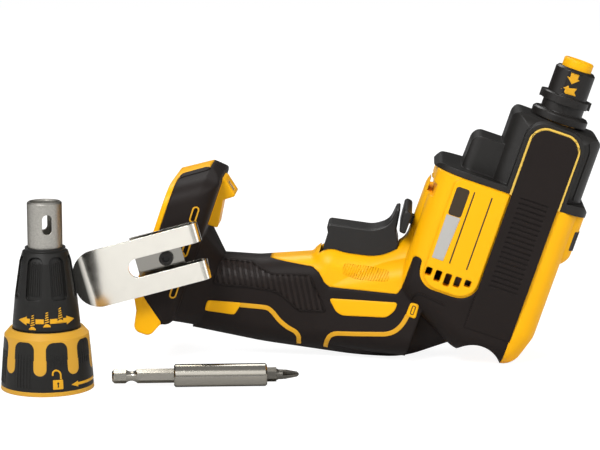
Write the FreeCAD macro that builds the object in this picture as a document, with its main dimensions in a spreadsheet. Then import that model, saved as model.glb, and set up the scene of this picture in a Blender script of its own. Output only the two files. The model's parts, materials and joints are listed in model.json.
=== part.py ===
import FreeCAD, Part
import math
import os

import Sketcher
from FreeCAD import Placement, Rotation, Vector

# Cordless drywall screwdriver, lying nose up, with its depth-setting nose cone and bit holder in front.
# Tool frame: nose along +Z, top of the tool towards +X, handle towards -X, left side towards -Y.

# Driving sizes in millimetres and degrees
SIZES = {
    # Casing
    "barrel_fore": 52.5, "barrel_top": 24.5, "barrel_half": 31.0, "barrel_front": 93.0,
    "barrel_rear": 4.7, "barrel_round": 11.0, "tail_taper": 6.0, "shoulder_top": 28.6,
    "shoulder_half": 24.0, "shoulder_round": 8.0, "flare_half": 28.0, "shoulder_start": 66.0,
    "web_depth": 7.3, "web_radius": 14.0, "grip_half": 17.5, "grip_round": 12.0, "throat_fore": 54.8,
    "skirt_height": 34.0, "skirt_fore": 98.5, "belly_drop": 33.5, "neck_sunk": 1.0, "casing_wall": 4.6,
    "grip_skin": 2.0, "plate_proud": 0.9, "vent_wide": 3.4, "vent_pitch": 5.35, "vent_top": 43.3,
    "hang_slot_wide": 3.3, "hang_slot_tall": 7.0, "hang_slot_low": 78.2, "strap_thick": 1.3,
    "rib_thick": 3.0, "post_radius": 3.6, "fit_gap": 0.2,
    # Battery foot
    "foot_half": 37.0, "foot_top": 157.5, "foot_deep": 24.9, "foot_base": "=foot_top + foot_deep",
    "neck_long": 9.5, "handle_end": "=foot_top - neck_long", "toe": 54.6, "toe_rise": 10.6,
    "toe_run": 16.4, "toe_crown": 6.5, "toe_rim": 2.4, "heel": 38.8, "rim_wide": 2.7, "shoe_half": 31.0,
    "shoe_depth": 16.5, "shoe_toe": 35.0, "rail_wide": 3.5, "rail_thick": 3.5, "pod_half": 10.0,
    "lens_half": 5.0, "lens_thick": 1.2, "lens_sunk": 0.5,
    # Gear case and side strips
    "tower_half_x": 24.5, "tower_half_y": 23.5, "tower_front": 134.6, "tower_round": 13.0,
    "flange_front": 96.3, "step_front": 115.2, "step_fore": 40.0, "step_half": 16.0, "strip_half": 12.5,
    "strip_front": 131.0, "strip_rear": 19.0, "strip_proud": 1.8, "strip_fade": 46.0, "strip_lip": 0.3,
    "strip_round": 8.0, "strip_rim": 3.4, "strip_edge": 1.2, "groove_pitch": 2.7, "groove_wide": 1.0,
    "groove_deep": 0.6, "groove_half": 7.6, "groove_start": 44.0,
    # Nose
    "shoulder_ring_radius": 15.2, "neck_radius": 11.3, "neck_front": 144.0, "lug_flange_radius": 12.4,
    "lug_radius": 14.0, "lug_front": 148.4, "lug_angle": 50.0, "collar_radius": 10.75,
    "collar_front": 163.2, "collar_flat": 9.9, "nose_ring_radius": 8.0, "nose_ring_rear": 155.0,
    "nose_ring_front": 168.0, "nose_bore": 6.5,
    # Drive train
    "gear_module": 0.85, "pinion_teeth": 12.0, "gear_teeth": 36.0, "gear_rear": 102.5, "gear_wide": 7.0,
    "shaft_radius": 3.0, "shaft_rear": 14.0, "stator_radius": 22.0, "stator_bore": 12.8,
    "stator_rear": 30.0, "stator_long": 32.0, "rotor_gap": 0.5, "fan_rear": 66.0, "fan_radius": 20.0,
    "fan_deep": 6.0, "rear_bearing_radius": 8.0, "rear_bearing_wide": 5.0, "front_bearing_radius": 9.5,
    "front_bearing_wide": 5.0, "spindle_radius": 6.0, "stub_radius": 4.9, "stub_long": 5.5,
    "run_gap": 0.05, "dog_deep": 1.8, "dog_gap": 0.5, "spindle_front": 160.0, "socket_flats": 6.5,
    "socket_deep": 20.0, "spindle_flange_radius": 11.0, "spindle_flange_thick": 3.2,
    "washer_thick": 1.5, "end_gap": 0.3,
    # Controls
    "trigger_half": 11.0, "trigger_round": 1.0, "trigger_travel": 6.0, "lever_half": 22.0,
    "lever_travel": 3.0, "side_gap": 0.5,
    # Belt hook
    "hook_wide": 30.0, "hook_thick": 1.3, "hook_slot": 10.0, "hook_bend": 5.2, "hook_slant": 34.0,
    "hook_fold": 16.0, "hook_leaf": 39.5, "hook_curl": 16.0, "hook_flare": 40.0,
    "hook_screw_radius": 3.6, "hook_screw_deep": 4.8,
    # Nose cone
    "cone_collar_base": 23.5, "cone_collar_neck": 21.0, "cone_collar_tall": 31.0, "cone_socket": 14.3,
    "cone_socket_deep": 20.0, "finger_count": 8.0, "finger_wide": 6.6, "finger_end": 10.4,
    "rubber_thick": 1.8, "adjuster_base": 17.0, "adjuster_mid": 14.1, "adjuster_neck": 10.2,
    "adjuster_top": 72.0, "scallop_count": 7.0, "scallop_phase": 36.0, "scallop_deep": 1.3,
    "tube_radius": 8.75, "tube_bore": 6.9, "tube_top": 95.0, "tube_slot_wide": 4.7,
    "tube_slot_tall": 10.0, "tube_slot_down": 5.8, "tube_travel": 8.0, "cone_sleeve_radius": 17.0,
    "cone_lift": 0.6, "cone_neck_radius": 11.8, "cone_neck_top": 56.0,
    # Bit holder
    "hex_flats": 6.35, "shank_long": 31.3, "groove_place": 9.8, "groove_round": 4.2,
    "groove_radius": 2.35, "holder_radius": 5.8, "holder_long": 47.0, "bit_long": 25.0,
    "bit_stand": 16.2, "tip_long": 11.4, "magnet_long": 4.0,
    # How the pieces lie
    "lean": 18.6, "cone_x": -217.0, "cone_y": -85.0, "bit_x": -184.0, "bit_y": -86.0, "bit_yaw": 6.2,
}

doc = FreeCAD.newDocument("drywall_screwdriver")
sheet = doc.addObject("Spreadsheet::Sheet", "sizes")
for row, (alias, value) in enumerate(SIZES.items(), start=1):
    sheet.set(f"A{row}", alias)
    sheet.set(f"B{row}", str(value))
    sheet.setAlias(f"B{row}", alias)
doc.recompute()


class Sizes:
    """Reads one named size from the sheet."""

    def __getattr__(self, alias):
        return float(getattr(sheet, alias))


d = Sizes()
nodes = {}
BIG = 400.0


def keep(obj, frame, seat=None):
    """Notes a finished sub-part, the frame it lies in and its seat in that frame."""
    nodes[obj.Label] = (obj, frame, seat or Placement())
    return obj


def feature(label, shape, frame):
    """A sub-part whose form is made from the sheet's sizes with solid operations."""
    obj = doc.addObject("Part::Feature", label)
    obj.Shape = Part.makeCompound(shape.Solids)
    return keep(obj, frame)


# Outlines and prisms
def rounded_wire(corners, point):
    """Closed outline of straight runs, each corner (u, v, radius) rounded by its own arc."""
    count = len(corners)
    ends = []
    for index, (u, v, radius) in enumerate(corners):
        here = Vector(u, v, 0)
        back = Vector(*corners[index - 1][:2], 0) - here
        ahead = Vector(*corners[(index + 1) % count][:2], 0) - here
        back.normalize()
        ahead.normalize()
        if radius <= 0:
            ends.append((here, None, here))
            continue
        half = back.getAngle(ahead) / 2
        reach = radius / math.tan(half)
        middle = back + ahead
        middle.normalize()
        crown = here + middle * (radius / math.sin(half) - radius)
        ends.append((here + back * reach, crown, here + ahead * reach))
    edges = []
    for index, (start, crown, end) in enumerate(ends):
        if crown is not None:
            edges.append(Part.Arc(point(start), point(crown), point(end)).toShape())
        following = ends[(index + 1) % count][0]
        if (following - end).Length > 1e-6:
            edges.append(Part.LineSegment(point(end), point(following)).toShape())
    return Part.Wire(edges)


def prism(corners, axis, start, end, inset=0.0):
    """Solid between two planes across an axis, from an outline that may be drawn in by an inset."""
    point = {
        "X": lambda p: Vector(0, p.x, p.y),
        "Y": lambda p: Vector(p.x, 0, p.y),
        "Z": lambda p: Vector(p.x, p.y, 0),
    }[axis]
    along = {"X": Vector(1, 0, 0), "Y": Vector(0, 1, 0), "Z": Vector(0, 0, 1)}[axis]
    face = Part.Face(rounded_wire(corners, point))
    if inset:
        face = face.makeOffset2D(-inset, 2, False, False, False)
    face.translate(along * min(start, end))
    return face.extrude(along * abs(end - start))


def rounded_box(left, right, low, high, radius):
    """Corner list of a rectangle with equal corner radii."""
    return [(left, low, radius), (right, low, radius), (right, high, radius), (left, high, radius)]


def soften_sides(solid, half, radius):
    """Rounds the outline edges on both side planes of a form that lies across Y."""
    edges = [e for e in solid.Edges if all(abs(abs(v.Y) - half) < 1e-4 for v in e.Vertexes)]
    return solid.makeFillet(radius, edges)


def box(x0, x1, y0, y1, z0, z1):
    """Box between two corners."""
    return Part.makeBox(x1 - x0, y1 - y0, z1 - z0, Vector(x0, y0, z0))


def rod(radius, length, base, axis=Vector(0, 0, 1)):
    """Round bar from a base point along an axis."""
    return Part.makeCylinder(radius, length, base, axis)


def hexagon(flats, length, base, axis=Vector(0, 0, 1)):
    """Hexagonal bar from its width across flats."""
    corner = flats / math.sqrt(3)
    turns = [k * math.pi / 3 for k in range(7)]
    points = [Vector(corner * math.cos(turn), corner * math.sin(turn), 0) for turn in turns]
    bar = Part.Face(Part.makePolygon(points)).extrude(Vector(0, 0, length))
    bar.Placement = Placement(base, Rotation(Vector(0, 0, 1), axis))
    return bar


# Turned pieces: a profile of (radius, height) expressions on the sheet, turned about the Z axis
def turned(label, profile, frame, seat=None):
    body = doc.addObject("PartDesign::Body", label)
    sketch = body.newObject("Sketcher::SketchObject", label + "_profile")
    plane = [f for f in body.Origin.OriginFeatures if f.Role == "XZ_Plane"][0]
    sketch.AttachmentSupport = (plane, [""])
    sketch.MapMode = "FlatFace"
    count = len(profile)
    start = [Vector(20 + 10 * math.cos(2 * math.pi * k / count), 10 * math.sin(2 * math.pi * k / count), 0)
             for k in range(count)]
    for k in range(count):
        sketch.addGeometry(Part.LineSegment(start[k], start[(k + 1) % count]), False)
    for k in range(count):
        sketch.addConstraint(Sketcher.Constraint("Coincident", k, 2, (k + 1) % count, 1))
    for k, (radius, height) in enumerate(profile):
        if radius == "0":
            sketch.addConstraint(Sketcher.Constraint("PointOnObject", k, 1, -2))
        else:
            across = sketch.addConstraint(Sketcher.Constraint("DistanceX", -1, 1, k, 1, start[k].x))
            sketch.setExpression(f"Constraints[{across}]", radius)
        up = sketch.addConstraint(Sketcher.Constraint("DistanceY", -1, 1, k, 1, start[k].y))
        sketch.setExpression(f"Constraints[{up}]", height)
    turn = body.newObject("PartDesign::Revolution", label + "_turn")
    turn.Profile = sketch
    turn.ReferenceAxis = (sketch, ["V_Axis"])
    turn.Angle = 360.0
    doc.recompute()
    return keep(body, frame, seat)


def ring(label, outer, inner, low, high, frame, seat=None):
    """Plain ring between two heights."""
    return turned(label, [(inner, low), (outer, low), (outer, high), (inner, high)], frame, seat)


# Outer form of the casing, drawn in by an inset for the layers below its surface
def barrel_form(inset=0.0):
    past = d.barrel_front + 2 * d.barrel_round
    outline = [
        (-d.barrel_fore, past, 0),
        (-d.barrel_fore, d.barrel_rear + 20, 16),
        (-14, d.barrel_rear, 14),
        (d.barrel_top - d.tail_taper, d.barrel_rear, 0),
        (d.barrel_top, d.barrel_rear + 19, 14),
        (d.barrel_top, past, 0),
    ]
    half = d.barrel_half - inset
    form = soften_sides(prism(outline, "Y", -half, half, inset), half, d.barrel_round - inset)
    return form.cut(box(-BIG, BIG, -BIG, BIG, d.barrel_front - inset, BIG))


def shoulder_form(inset=0.0):
    past = d.barrel_front + 2 * d.shoulder_round
    outline = [
        (0, past, 0),
        (0, d.shoulder_start - 3, 0),
        (d.barrel_top - 0.5, d.shoulder_start - 3, 0),
        (d.shoulder_top, d.shoulder_start + 3, 0),
        (d.shoulder_top, past, 0),
    ]
    half = d.shoulder_half - inset
    form = soften_sides(prism(outline, "Y", -half, half, inset), half, d.shoulder_round - inset)
    return form.cut(box(-BIG, BIG, -BIG, BIG, d.barrel_front - inset, BIG))


def flare_form(inset=0.0):
    """Swelling of the grip where it runs into the barrel."""
    slim = rounded_box(inset - d.grip_half + 1, d.grip_half - 1 - inset, inset - 23, 18 - inset, 11 - inset)
    wide = rounded_box(inset - d.flare_half, d.flare_half - inset, inset - 9, 52 - inset, 13 - inset)
    wires = [
        rounded_wire(slim, lambda p: Vector(-92, p.x, p.y)),
        rounded_wire(wide, lambda p: Vector(-36, p.x, p.y)),
    ]
    return Part.makeLoft(wires, True, True)


def handle_form(inset=0.0):
    past = 2 * d.grip_round
    front_slope = 6.2 / 22
    belly_slope = 5.0 / 38
    outline = [
        (-20, d.barrel_front - 2, 0),
        (-d.throat_fore, d.barrel_front - 2, 0),
        (-d.throat_fore - 0.5, d.skirt_height + 14.5, 10),
        (-d.throat_fore - 12, d.skirt_height + 3.5, 22),
        (-d.skirt_fore + 14.5, d.skirt_height, 30),
        (-d.skirt_fore, d.skirt_height, 0),
        (-d.skirt_fore - 1, d.skirt_height - 9, 2.5),
        (-d.skirt_fore - 27.5, 13.8, 30),
        (-d.handle_end - past, 7.6 - front_slope * past, 0),
        (-d.handle_end - past, -d.belly_drop - belly_slope * past, 0),
        (-110, 5 - d.belly_drop, 200),
        (-60, 14.5 - d.belly_drop, 200),
        (-36, 21.5 - d.belly_drop, 50),
        (-13, 39.5 - d.belly_drop, 20),
        (0, 30, 0),
        (0, 60, 0),
    ]
    half = d.grip_half - inset
    form = soften_sides(prism(outline, "Y", -half, half, inset), half, d.grip_round - inset)
    return form.cut(box(-BIG, -d.handle_end, -BIG, BIG, -BIG, BIG))


def neck_form(inset=0.0):
    """Flare from the handle to the foot."""
    start = d.grip_half - d.neck_sunk - inset
    sunk = inset + 2 * d.neck_sunk
    upper = rounded_box(-start, start, sunk - d.belly_drop, 8.6 - sunk, d.grip_round)
    lower = rounded_box(inset - 29, 29 - inset, inset - 30.8, 21 - inset, 8)
    wires = [
        rounded_wire(upper, lambda p: Vector(6 - d.handle_end, p.x, p.y)),
        rounded_wire(lower, lambda p: Vector(-d.foot_top - 2, p.x, p.y)),
    ]
    return Part.makeLoft(wires, True, True)


def foot_form(inset=0.0):
    side = [
        (-d.foot_base, -19, 4),
        (-d.foot_base, d.toe - d.toe_rise, 10),
        (d.toe_run - d.foot_base, d.toe, 8),
        (-d.foot_top, d.toe - 5, 5),
        (-d.foot_top, -30.8, 5),
        (-d.foot_top - 6, -30.8, 2),
        (-d.foot_top - 9.5, -d.heel, 4),
        (-d.foot_base + 6.5, -d.heel, 4),
        (-d.foot_base + 4.5, -28, 2),
    ]
    half = d.foot_half - inset
    top = d.toe - inset
    roof = [
        (-half, -BIG, 0),
        (half, -BIG, 0),
        (half, top - d.toe_crown, 12),
        (0, top + 1.2, 70),
        (-half, top - d.toe_crown, 12),
    ]
    crown = Part.Face(rounded_wire(roof, lambda p: Vector(d.toe_run - d.foot_base, p.x, p.y)))
    rise = Vector(d.toe_run, 0, d.toe_rise)
    crown.translate(rise * -3)
    crown = crown.extrude(rise * 6)
    across = [
        (-d.foot_base - 5, -half, 0),
        (-d.foot_top - inset, -half, 9),
        (-d.foot_top - inset, half, 9),
        (-d.foot_base - 5, half, 0),
    ]
    form = prism(side, "Y", -half, half, inset)
    form = form.common(crown).common(prism(roof, "X", -BIG, BIG))
    return form.common(prism(across, "Z", -BIG, BIG))


def pod_face():
    """Ends of the lamp pod's sloping face in the side view."""
    return Vector(0.9 - d.foot_top, 0, d.toe - 5.8), Vector(9.3 - d.foot_top, 0, d.toe - 12.6)


def pod_form(gap=0.0):
    """Lamp pod on the front of the foot, under the nose, rooted below the overmould."""
    root = -d.foot_top - d.grip_skin - 1
    high, tip = pod_face()
    outline = [
        (root, high.z, 0),
        (high.x, high.z, 1),
        (tip.x, tip.z, 1),
        (3.5 - d.foot_top, tip.z - 4.3, 1),
        (5.5 - d.foot_top, 22.5, 1),
        (root, 22.5, 0),
    ]
    half = d.pod_half + gap
    return prism(outline, "Y", -half, half)


def casing_form(inset):
    form = barrel_form(inset)
    for part in (handle_form(inset), flare_form(inset), neck_form(inset), foot_form(inset),
                 shoulder_form(inset)):
        form = form.fuse(part)
    middle = d.barrel_rear + d.web_depth - d.web_radius
    return form.cut(rod(d.web_radius, 2 * BIG, Vector(0, -BIG, middle), Vector(0, 1, 0)))


# Side-view outline of the black overmould; the rest of the casing stays yellow
def grip_zone():
    base = -d.foot_base + d.rim_wide
    slope = d.toe_rise / d.toe_run
    outline = [
        (base, -17, 0),
        (base, d.toe - d.toe_rise + slope * d.rim_wide - d.toe_rim, 3),
        (d.toe_run - d.foot_base, d.toe - d.toe_rim, 3),
        (-d.foot_top - 5, d.toe + 10, 0),
        (-130, d.toe + 10, 0),
        (-128.5, 18.5, 1),
        (-123.3, 15.6, 1),
        (-97.6, 20.4, 3),
        (-93.6, 19, 2),
        (-88.6, 14.4, 2),
        (-85.6, 13.4, 2),
        (-51, 22.9, 2),
        (-49.8, 27, 2),
        (-49.6, 46, 2),
        (-45, 46, 2),
        (-43.4, 32.2, 10),
        (0.3 - d.strip_half, 32.2, 11),
        (0.3 - d.strip_half, 60, 0),
        (d.strip_half - 0.3, 60, 0),
        (d.strip_half - 0.3, -60, 0),
        (-150, -60, 0),
        (-160, -40, 0),
        (-d.foot_top - 6.5, -29.5, 3),
        (-d.foot_base + 8.5, -22, 3),
    ]
    return prism(outline, "Y", -BIG, BIG)


def motor_axis():
    """Distance from the nose axis to the motor axis, set by the gear pair."""
    return d.gear_module * (d.pinion_teeth + d.gear_teeth) / 2


# Screws that hold the two halves, at posts clear of the inner pieces (x, z)
SCREW_PLACES = [(-47.5, 71), (20.5, 84), (17, 22), (-100.6, -8.2), (5 - d.handle_end, -24), (-52, -6)]

casing_outer = casing_form(0.0)
casing_core = casing_form(d.grip_skin)
motor_x = -motor_axis()

SWITCH = (-93.0, -60.0, 9.0, 1.0, 19.0)
MODULE = (10 - d.handle_end, 43 - d.handle_end, 10.0, -17.0, 3.0)


def switch_box(gap=0.0):
    x0, x1, half, z0, z1 = SWITCH
    return box(x0 - gap, x1 + gap, -half - gap, half + gap, z0 - gap, z1 + gap)


def module_box(gap=0.0):
    x0, x1, half, z0, z1 = MODULE
    return box(x0 - gap, x1 + gap, -half - gap, half + gap, z0 - gap, z1 + gap)


def trigger_outline():
    rest = d.skirt_height
    return [
        (-58.6, rest - 8, 0),
        (-58.6, rest + 12, 3),
        (-61.6, rest + 17, 0),
        (-63.4, rest + 30.2, 0.8),
        (-65.4, rest + 29, 0.8),
        (-66.4, rest + 20, 9),
        (-73.5, rest + 14.8, 14),
        (-98.2, rest + 10, 2),
        (-95.6, rest + 5, 0),
        (-95.2, rest - 8, 0),
    ]


def lever_outline():
    """Cross-section of the direction lever, a slanted bar in front of the throat."""
    return [(-57.3, 53.6, 1.2), (-57.0, 65.4, 1.8), (-61.8, 66.4, 1.8), (-60.8, 54.1, 1.2)]


def casing_hollow():
    hollow = barrel_form(d.casing_wall).fuse(handle_form(d.casing_wall))
    ribs = []
    for z in (d.stator_rear + 3, d.stator_rear + d.stator_long - 3 - d.rib_thick):
        ribs.append(box(-80, 40, -40, 40, z, z + d.rib_thick))
    ribs.append(box(-50, 40, -40, 40, 0, d.shaft_rear + 1 + d.rear_bearing_wide))
    x0, x1, _, z0, z1 = SWITCH
    for x in (x0 + 4, x1 - 6):
        ribs.append(box(x, x + d.rib_thick, -40, 40, -40, z1 - 2))
    x0, x1, _, z0, z1 = MODULE
    for x in (x0 + 5, x1 - 8):
        ribs.append(box(x, x + d.rib_thick, -40, 40, -40, 40))
    ribs.append(box(-70, 7.5 - d.barrel_fore, -40, 40, 76, 100))
    for x, z in SCREW_PLACES:
        ribs.append(rod(d.post_radius, 2 * BIG, Vector(x, -BIG, z), Vector(0, 1, 0)))
    for rib in ribs:
        hollow = hollow.cut(rib)
    axis = Vector(motor_x, 0, 0)
    front = d.barrel_front + 5
    pockets = [
        rod(d.stator_radius + d.fit_gap, d.stator_long + 0.6, axis + Vector(0, 0, d.stator_rear - 0.3)),
        rod(d.rear_bearing_radius + d.run_gap, 15, axis + Vector(0, 0, d.shaft_rear + 1 - d.fit_gap)),
        rod(d.shaft_radius + 2, 20, axis + Vector(0, 0, d.shaft_rear - 1)),
        rod(d.fan_radius + 1.0, d.fan_deep + 2, axis + Vector(0, 0, d.fan_rear - 1)),
        rod(d.shaft_radius + 2, front - d.fan_rear, axis + Vector(0, 0, d.fan_rear)),
        switch_box(d.fit_gap),
        module_box(d.fit_gap),
    ]
    for pocket in pockets:
        hollow = hollow.fuse(pocket)
    return hollow


def trigger_way():
    """Opening in front of the switch in which the trigger travels."""
    half = d.trigger_half + d.side_gap
    low = d.skirt_height - 8 - d.trigger_travel - d.side_gap
    return box(-96.7, -58.6 + d.side_gap, -half, half, low, d.skirt_height + 40)


def plate_outline():
    """Raised plate on each flank of the barrel."""
    right = -d.strip_half - 0.7
    return [(right, 33.3, 10), (right, 92.5, 0), (-42.3, 92.5, 4), (-42.3, 33.3, 9)]


def vents():
    """Row of air slots with level tops, their lengths following the plate's rounded foot."""
    slots = []
    for k, tall in enumerate((4.4, 6.0, 6.9, 5.7, 3.8)):
        x = -39.8 + k * d.vent_pitch
        outline = rounded_box(x - d.vent_wide / 2, x + d.vent_wide / 2, d.vent_top - tall, d.vent_top, 0.8)
        slots.append(prism(outline, "Y", -BIG, BIG))
    return slots


def shoe_cavity():
    """Open bottom and heel of the foot, with a rail lip along each side for the sliding battery."""
    ceiling = -d.foot_base + d.shoe_depth
    space = box(-d.foot_base - 5, ceiling, -d.shoe_half, d.shoe_half, -d.heel - 5, d.shoe_toe)
    for side in (-1, 1):
        inner = side * (d.shoe_half - d.rail_wide)
        outer = side * (d.shoe_half + 1)
        lip = box(-d.foot_base - 5, -d.foot_base + d.rail_thick, min(inner, outer), max(inner, outer),
                  -d.heel - 5, d.shoe_toe - 4)
        space = space.cut(lip)
    return space


def half_space(side):
    return box(-BIG, BIG, min(0, side * BIG), max(0, side * BIG), -BIG, BIG)


def lens_slab(gap, proud):
    """Slab in the sloping front face of the lamp pod, its face at a height over that of the pod."""
    top, foot = pod_face()
    run = foot - top
    slope = Vector(run)
    slope.normalize()
    out = Vector(-slope.z, 0, slope.x)
    start = top + run * 0.28 - slope * gap
    end = top + run * 0.78 + slope * gap
    floor = out * -(d.lens_thick + d.lens_sunk + gap)
    corners = [start + out * proud, end + out * proud, end + floor, start + floor]
    outline = [(p.x, p.z, 0) for p in corners]
    return prism(outline, "Y", -d.lens_half - gap, d.lens_half + gap)


def hook_frame():
    """Place of the belt hook on the left flank of the foot: X along its leaf, Z across it."""
    return Placement(Vector(-d.foot_top - 14, -d.foot_half, 4.0), Rotation(Vector(0, 1, 0), -d.hook_slant))


def hook_screw_hole(radius):
    mouth = Vector(-d.foot_top - 14, -d.foot_half - 3, 4.0)
    return rod(radius, 3 + d.hook_screw_deep + d.fit_gap, mouth, Vector(0, 1, 0))


def lever_way():
    """Room for the lever's tongue, which reaches the switch through the throat."""
    half = 4 + d.lever_travel + d.side_gap
    return box(-60, -49, -half, half, 57.2 - d.fit_gap, 61.8 + d.fit_gap)


def screw_shank(x, z, gap=0.0):
    return rod(1.5 + gap, 18 + 2 * gap, Vector(x, -9 - gap, z), Vector(0, 1, 0))


def screw_head(x, z, gap=0.0):
    return rod(2.9 + gap, BIG if gap else 2.2, Vector(x, 9 - gap, z), Vector(0, 1, 0))


zone = grip_zone()
hollow = casing_hollow()
shell_cuts = [hollow, trigger_way(), lever_way(), shoe_cavity()]
slot_left = d.strap_thick - d.throat_fore
slot_top = d.hang_slot_low + d.hang_slot_tall
hang_slot = box(slot_left, slot_left + d.hang_slot_wide, -BIG, BIG, d.hang_slot_low, slot_top)
pod = pod_form()
layer = casing_outer.cut(casing_core).common(zone).cut(pod_form(d.fit_gap)).cut(shoe_cavity())
layer = layer.cut(trigger_way())
for side, name in ((-1, "left"), (1, "right")):
    grip = layer.common(half_space(side)).cut(hook_screw_hole(1.9))
    shell = casing_outer.common(half_space(side)).cut(grip).fuse(pod.common(half_space(side)))
    plate = prism(plate_outline(), "Y", d.barrel_half - 3, d.barrel_half + d.plate_proud)
    if side < 0:
        plate = plate.mirror(Vector(0, 0, 0), Vector(0, 1, 0))
    shell = shell.fuse(plate)
    for cut in shell_cuts + vents() + [hang_slot, lens_slab(0.05, 1.0), hook_screw_hole(1.9)]:
        shell = shell.cut(cut)
    for x, z in SCREW_PLACES:
        shell = shell.cut(screw_shank(x, z, d.run_gap))
        grip = grip.cut(screw_shank(x, z, d.run_gap))
        if side > 0:
            shell = shell.cut(screw_head(x, z, d.fit_gap))
            grip = grip.cut(screw_head(x, z, d.fit_gap))
    feature(name + "_housing", max(shell.Solids, key=lambda s: s.Volume), "tool")
    feature(name + "_grip", grip, "tool")

screws = []
for x, z in SCREW_PLACES:
    screws.append(screw_shank(x, z).fuse(screw_head(x, z)).removeSplitter())
feature("housing_screws", Part.makeCompound(screws), "tool")
feature("lamp_lens", lens_slab(0.0, -d.lens_sunk), "tool")


# Gear case: a tower round the nose axis, a bump over the motor shaft and a flange on the barrel
def gear_case_form():
    rear = d.barrel_front
    tower_side = [
        (-d.tower_half_x, rear, 0),
        (d.tower_half_x, rear, 0),
        (d.tower_half_x, d.tower_front - 1.5, 5),
        (-d.tower_half_x, d.tower_front, 5),
    ]
    tower_end = [
        (-d.tower_half_y, rear, 0),
        (d.tower_half_y, rear, 0),
        (d.tower_half_y, d.tower_front, 9),
        (-d.tower_half_y, d.tower_front, 9),
    ]
    plan = rounded_box(-d.tower_half_x, d.tower_half_x, -d.tower_half_y, d.tower_half_y, d.tower_round)
    form = prism(plan, "Z", rear, d.tower_front)
    form = form.common(prism(tower_side, "Y", -BIG, BIG)).common(prism(tower_end, "X", -BIG, BIG))
    pad = [
        (-d.strip_half - d.strip_rim, rear, 0),
        (d.strip_half + d.strip_rim, rear, 0),
        (d.strip_half + d.strip_rim, d.strip_front + d.strip_rim - 0.6, d.strip_round + 2),
        (-d.strip_half - d.strip_rim, d.strip_front + d.strip_rim - 0.6, d.strip_round + 2),
    ]
    form = form.fuse(prism(pad, "Y", -d.barrel_half, d.barrel_half))
    bump = prism([
        (-d.step_fore - 0.8, rear, 0),
        (-15, rear, 0),
        (-15, d.step_front, 0),
        (-d.step_fore, d.step_front, 5.5),
    ], "Y", -d.step_half, d.step_half)
    bump_plan = rounded_box(-d.step_fore - 1, 0, -d.step_half, d.step_half, 6)
    bump = bump.common(prism(bump_plan, "Z", rear, d.step_front))
    flange_side = [
        (-d.throat_fore, rear, 0),
        (d.shoulder_top, rear, 0),
        (d.shoulder_top, rear + 3, 3),
        (d.tower_half_x + 1, d.flange_front + 2, 2),
        (0, d.flange_front, 0),
        (3 - d.throat_fore, d.flange_front, 3),
    ]
    flange_half = d.barrel_half - 0.5
    flange_plan = [
        (-d.throat_fore, -flange_half, 19),
        (d.shoulder_top, -flange_half, d.barrel_round),
        (d.shoulder_top, flange_half, d.barrel_round),
        (-d.throat_fore, flange_half, 19),
    ]
    flange = prism(flange_plan, "Z", rear, BIG).common(prism(flange_side, "Y", -BIG, BIG))
    return form.fuse(bump).fuse(flange).removeSplitter()


def gear_case_hollow():
    axis = Vector(motor_x, 0, 0)
    chamber_rear = d.gear_rear - 2
    wheel = d.gear_module * (d.gear_teeth / 2 + 1)
    wheel_small = d.gear_module * (d.pinion_teeth / 2 + 1)
    chamber_front = flange_face() + d.spindle_flange_thick + 0.2 + d.washer_thick + d.end_gap
    tall = chamber_front - chamber_rear
    front = d.tower_front + 1 - chamber_front
    bearing_tall = 1 + d.front_bearing_wide
    return [
        rod(wheel + 2, tall, Vector(0, 0, chamber_rear)),
        rod(wheel_small + 2, d.gear_wide + 4, axis + Vector(0, 0, chamber_rear)),
        rod(bush_radius() + d.run_gap, front, Vector(0, 0, chamber_front)),
        rod(stub_bush_radius() + d.run_gap, chamber_rear - d.barrel_front,
            Vector(0, 0, d.barrel_front + 1)),
        rod(d.front_bearing_radius + d.run_gap, bearing_tall, axis + Vector(0, 0, d.barrel_front)),
        rod(d.shaft_radius + 2, chamber_rear - d.barrel_front + 1, axis + Vector(0, 0, d.barrel_front)),
    ]


def flange_face():
    """Height of the spindle flange's rear face, over the gear, both sets of dogs and their open gap."""
    return d.gear_rear + d.gear_wide + 2 * d.dog_deep + d.dog_gap


def bush_radius():
    return d.spindle_radius + 4


def stub_bush_radius():
    return d.stub_radius + 2.2


case = gear_case_form()
for cut in gear_case_hollow():
    case = case.cut(cut)
feature("gear_case", case.removeSplitter(), "tool")


# Ribbed side strips, each with a thin edge round its front end
def strip_outline(grow=0.0, rear=None):
    half = d.strip_half + grow
    low = d.strip_rear if rear is None else rear
    front = d.strip_front + grow
    corner = d.strip_round + grow
    return [(-half, low, 0), (half, low, 0), (half, front, corner), (-half, front, corner)]


for side, name in ((-1, "left"), (1, "right")):
    strip = prism(strip_outline(), "Y", d.barrel_half, d.barrel_half + d.strip_proud)
    groove_count = int((d.barrel_front + 4 - d.groove_start) / d.groove_pitch)
    for k in range(groove_count):
        low = d.groove_start + k * d.groove_pitch
        corner = d.groove_wide / 2 - 0.05
        outline = rounded_box(-d.groove_half, d.groove_half, low, low + d.groove_wide, corner)
        strip = strip.cut(prism(outline, "Y", d.barrel_half + d.strip_proud - d.groove_deep, BIG))
    face = d.barrel_half + d.strip_proud
    fade = [
        (face, d.strip_fade, 0),
        (d.barrel_half + d.strip_lip, d.strip_rear, 0),
        (face, d.strip_rear - 1, 0),
    ]
    strip = strip.cut(prism(fade, "X", -BIG, BIG))
    edge = prism(strip_outline(d.strip_edge, d.barrel_front), "Y", d.barrel_half, face - 0.4)
    edge = edge.cut(prism(strip_outline(), "Y", 0, BIG))
    if side < 0:
        strip = strip.mirror(Vector(0, 0, 0), Vector(0, 1, 0))
        edge = edge.mirror(Vector(0, 0, 0), Vector(0, 1, 0))
    feature(name + "_side_strip", strip, "tool")
    feature(name + "_strip_edge", edge, "tool")

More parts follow.
